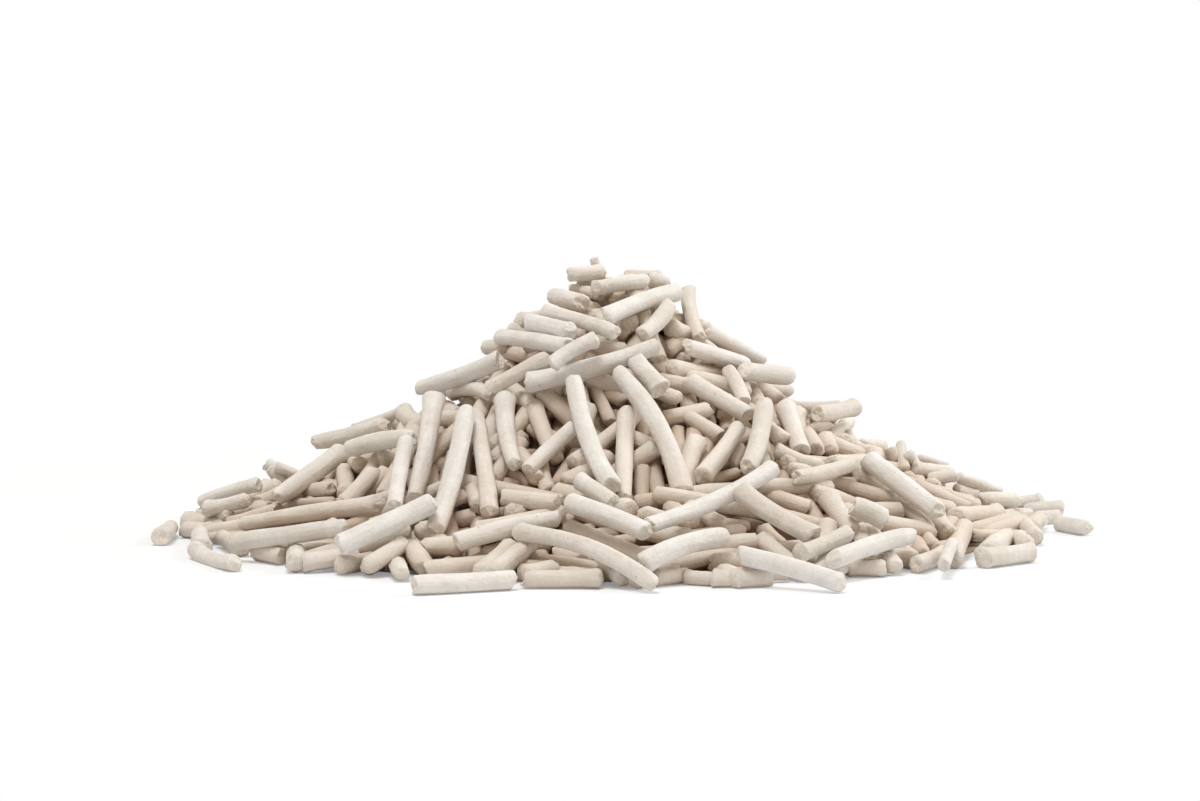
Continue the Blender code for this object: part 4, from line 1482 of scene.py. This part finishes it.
@dataclass
class LooseRods:
    """The rods on top of the heap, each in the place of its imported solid."""

    rings: int = 8
    tip: float = 0.0002
    highest_drop: float = 0.0014

    def read(self, node: str) -> Rod:
        """Reads a rod's ends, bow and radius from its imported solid.

        Args:
            node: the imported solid's name.

        Returns:
            The rod.
        """
        mesh = frame["nodes"][node].data
        points = np.empty(len(mesh.vertices) * 3)
        mesh.vertices.foreach_get("co", points)
        points = np.unique(np.round(points.reshape(-1, 3), 6), axis=0)
        middle = points.mean(axis=0)
        way = np.linalg.svd(points - middle)[2][0]
        points = points[np.argsort((points - middle) @ way)]
        count = 2 * self.rings
        first, last = points[:count].mean(axis=0), points[-count:].mean(axis=0)
        way = (last - first) / np.linalg.norm(last - first)
        ends = np.array((first - way * self.tip, last + way * self.tip))
        offset = points[:count] - first
        offset = offset - (offset @ way)[:, None] * way
        rod = Rod(ends, float(np.linalg.norm(offset, axis=1).max()))
        if len(points) > 2 * count:
            bend = points[count:-count].mean(axis=0) - ends.mean(axis=0)
            rod.bend = bend - (bend @ way) * way
        for end in rod.ends:
            gap = end[2] - rod.radius
            if 0.0 < gap < self.highest_drop:
                end[2] -= gap
        return rod


@dataclass(frozen=True)
class Lamp:
    """A soft square lamp that faces the heap: place and width in metres, power in watts."""

    name: str
    place: tuple[float, float, float]
    size: float
    power: float
    colour: tuple[float, float, float] = (0.925, 0.97, 1.0)
    aim: tuple[float, float, float] = (0.0, 0.0, 0.015)

    def hang(self) -> None:
        """Hangs the lamp."""
        light = bpy.data.lights.new(self.name, "AREA")
        light.shape = "SQUARE"
        light.size = self.size
        light.energy = self.power
        light.color = self.colour
        lamp = bpy.data.objects.new(self.name, light)
        lamp.location = self.place
        way = Vector(self.aim) - lamp.location
        lamp.rotation_euler = way.to_track_quat("-Z", "Y").to_euler()
        bpy.context.scene.collection.objects.link(lamp)


@dataclass
class Studio:
    """The plain floor, the soft light and the camera."""

    eye: Eye
    floor_radius: float = 6.0
    floor_colour: tuple[float, float, float] = (0.85, 0.88, 0.92)
    floor_drop: float = 0.00005
    fade: tuple[float, float] = (0.06, 0.17)
    fade_amount: tuple[float, float] = (0.25, 1.0)
    world_strength: float = 0.585
    world_tint: tuple[float, float, float] = (1.0, 0.83, 0.65)
    frame_width: float = 0.18605
    frame_middle: tuple[float, float] = (-2.6, 18.7)
    lamps: tuple[Lamp, ...] = (
        Lamp("key_lamp", (-0.10, -0.22, 0.70), 0.30, 3.3),
        Lamp("side_lamp", (0.65, 0.12, 0.38), 0.45, 3.0),
    )

    @staticmethod
    def looked_at(tree: bpy.types.NodeTree) -> bpy.types.NodeSocket:
        """Gives 1.0 to the camera and to reflections, and 0.0 to light that falls on the heap.

        Args:
            tree: the nodes of the material or of the world.

        Returns:
            The number.
        """
        path = tree.nodes.new("ShaderNodeLightPath")
        seen = tree.nodes.new("ShaderNodeMath")
        seen.operation = "MAXIMUM"
        tree.links.new(path.outputs["Is Camera Ray"], seen.inputs[0])
        tree.links.new(path.outputs["Is Glossy Ray"], seen.inputs[1])
        return seen.outputs["Value"]

    def floor(self) -> None:
        """Lays a plain white floor that keeps the heap's shadow and fades into the background."""
        disc = bmesh.new()
        bmesh.ops.create_circle(disc, cap_ends=True, segments=96, radius=self.floor_radius)
        mesh = bpy.data.meshes.new("floor")
        disc.to_mesh(mesh)
        disc.free()
        mesh.materials.append(self.floor_finish())
        floor = bpy.data.objects.new("floor", mesh)
        floor.location.z = -self.floor_drop
        bpy.context.scene.collection.objects.link(floor)
        floor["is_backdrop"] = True

    def floor_finish(self) -> bpy.types.Material:
        """Makes a matt white that turns to the background's white further out.

        Returns:
            The floor's material.
        """
        material = bpy.data.materials.new("white_floor")
        material.use_nodes = True
        tree = material.node_tree
        tree.nodes.remove(tree.nodes["Principled BSDF"])
        lit = tree.nodes.new("ShaderNodeBsdfDiffuse")
        lit.inputs["Color"].default_value = (*self.floor_colour, 1.0)
        glow = tree.nodes.new("ShaderNodeEmission")
        place = tree.nodes.new("ShaderNodeTexCoord")
        away = tree.nodes.new("ShaderNodeVectorMath")
        away.operation = "LENGTH"
        tree.links.new(place.outputs["Object"], away.inputs[0])
        fade = tree.nodes.new("ShaderNodeMapRange")
        fade.interpolation_type = "SMOOTHSTEP"
        fade.inputs["From Min"].default_value = self.fade[0]
        fade.inputs["From Max"].default_value = self.fade[1]
        fade.inputs["To Min"].default_value = self.fade_amount[0]
        fade.inputs["To Max"].default_value = self.fade_amount[1]
        tree.links.new(away.outputs["Value"], fade.inputs["Value"])
        amount = tree.nodes.new("ShaderNodeMath")
        amount.operation = "MULTIPLY"
        tree.links.new(self.looked_at(tree), amount.inputs[0])
        tree.links.new(fade.outputs["Result"], amount.inputs[1])
        mixed = tree.nodes.new("ShaderNodeMixShader")
        tree.links.new(amount.outputs["Value"], mixed.inputs["Fac"])
        tree.links.new(lit.outputs["BSDF"], mixed.inputs[1])
        tree.links.new(glow.outputs["Emission"], mixed.inputs[2])
        tree.links.new(mixed.outputs["Shader"], tree.nodes["Material Output"].inputs["Surface"])
        return material

    def world(self) -> None:
        """Sets a surround that lights the heap softly and warmly, and shows white behind it."""
        world = bpy.data.worlds.new("white_surround")
        bpy.context.scene.world = world
        world.use_nodes = True
        tree = world.node_tree
        tree.nodes.clear()
        seen = self.looked_at(tree)
        strength = tree.nodes.new("ShaderNodeMapRange")
        strength.inputs["To Min"].default_value = self.world_strength
        strength.inputs["To Max"].default_value = 1.0
        tree.links.new(seen, strength.inputs["Value"])
        tint = tree.nodes.new("ShaderNodeMix")
        tint.data_type = "RGBA"
        tint.inputs["A"].default_value = (*self.world_tint, 1.0)
        tint.inputs["B"].default_value = (1.0, 1.0, 1.0, 1.0)
        tree.links.new(seen, tint.inputs["Factor"])
        light = tree.nodes.new("ShaderNodeBackground")
        tree.links.new(tint.outputs["Result"], light.inputs["Color"])
        tree.links.new(strength.outputs["Result"], light.inputs["Strength"])
        output = tree.nodes.new("ShaderNodeOutputWorld")
        tree.links.new(light.outputs["Background"], output.inputs["Surface"])

    def camera(self) -> None:
        """Stands the camera at the eye, framed as the elevation is."""
        camera = bpy.data.cameras.new("camera")
        aim = self.eye.seen(*self.frame_middle)
        place = self.eye.place()
        camera.sensor_width = 36.0
        away = float(np.linalg.norm(aim - place))
        camera.lens = camera.sensor_width * away / self.frame_width
        camera.clip_start = 0.01
        stand = bpy.data.objects.new("camera", camera)
        stand.location = place
        stand.rotation_euler = Vector(aim - place).to_track_quat("-Z", "Y").to_euler()
        bpy.context.scene.collection.objects.link(stand)
        bpy.context.scene.camera = stand

    def build(self) -> None:
        """Sets up the whole studio."""
        self.floor()
        self.world()
        for lamp in self.lamps:
            lamp.hang()
        self.camera()
        bpy.context.scene.view_settings.view_transform = "Standard"


FINISHES = {
    "litter_pale": FibreFinish("pale_fibre", (0.77, 0.763, 0.753), (0.68, 0.66, 0.63)),
    "litter_cream": FibreFinish("cream_fibre", (0.76, 0.748, 0.732), (0.655, 0.625, 0.585)),
    "litter_tan": FibreFinish("tan_fibre", (0.745, 0.722, 0.695), (0.63, 0.59, 0.54)),
    "litter_bed": FibreFinish("bed_fibre", (0.76, 0.75, 0.735), (0.65, 0.62, 0.58)),
}


def dress(piece: bpy.types.Object, slot: str, material: bpy.types.Material) -> None:
    """Gives a piece its finish and lets it ride with the heap.

    Args:
        piece: the piece.
        slot: the record's material slot that its finish belongs to; not used.
        material: the finish.
    """
    piece.data.materials.append(material)
    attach(piece, "root")
    log.info("%s: %d faces, %s", piece.name, len(piece.data.polygons), material.name)


def write_sizes() -> None:
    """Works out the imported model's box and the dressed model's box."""
    boxes = {"cad": PACKED_BOX, "visual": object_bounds()}
    plain = {name: [[float(value) for value in corner] for corner in box] for name, box in boxes.items()}


def main() -> None:
    """Builds the heap's pieces in order, then the studio."""
    logging.basicConfig(level=logging.INFO, format="%(message)s")
    form, eye = HeapForm(), Eye()
    slots = {part["node"]: part["material_slot"] for part in frame["record"]["subparts"]}
    materials = {slot: finish.material() for slot, finish in FINISHES.items()}
    pieces = LitterPieces(form, seed=3)

    reader = LooseRods()
    loose = {node: reader.read(node) for node in sorted(frame["nodes"]) if node != "litter_bed"}
    fine = RodShaper(RodMould(sides=12, spans=8, fullness=1.08, worn_steps=2), seed=7)
    for node, rod in loose.items():
        piece = pieces.build(node.replace("pellet", "rod"), [rod], fine)
        smooth = piece.modifiers.new("smooth", "SUBSURF")
        smooth.levels = smooth.render_levels = 1
        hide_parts(node)
        dress(piece, slots[node], materials[slots[node]])
    log.info("loose rods: %d", len(loose))

    bedded = BedLayout(form, eye).lay()
    plain = RodShaper(RodMould(sides=10, spans=6, tear=0.6, fullness=1.06), seed=19)
    bed = pieces.build("bedded_rods", bedded, plain)
    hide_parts("litter_bed")
    dress(bed, "litter_bed", materials["litter_bed"])
    log.info("bedded rods: %d", len(bedded))

    inner = sorted(Filling(form).fill([*loose.values(), *bedded]), key=form.rod_cover)
    rough = RodShaper(RodMould(sides=8, spans=3, tear=0.5, fullness=1.04), seed=23)
    half = len(inner) // 2
    for name, rods in (("upper_fill", inner[:half]), ("lower_fill", inner[half:])):
        fill = pieces.build(name, rods, rough)
        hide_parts("litter_bed")
        dress(fill, "litter_bed", materials["litter_bed"])
    log.info("fill rods: %d", len(inner))
    core = pieces.core("core")
    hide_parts("litter_bed")
    dress(core, "litter_bed", materials["litter_bed"])

    Studio(eye).build()
    write_sizes()


if __name__ == "__main__":
    main()
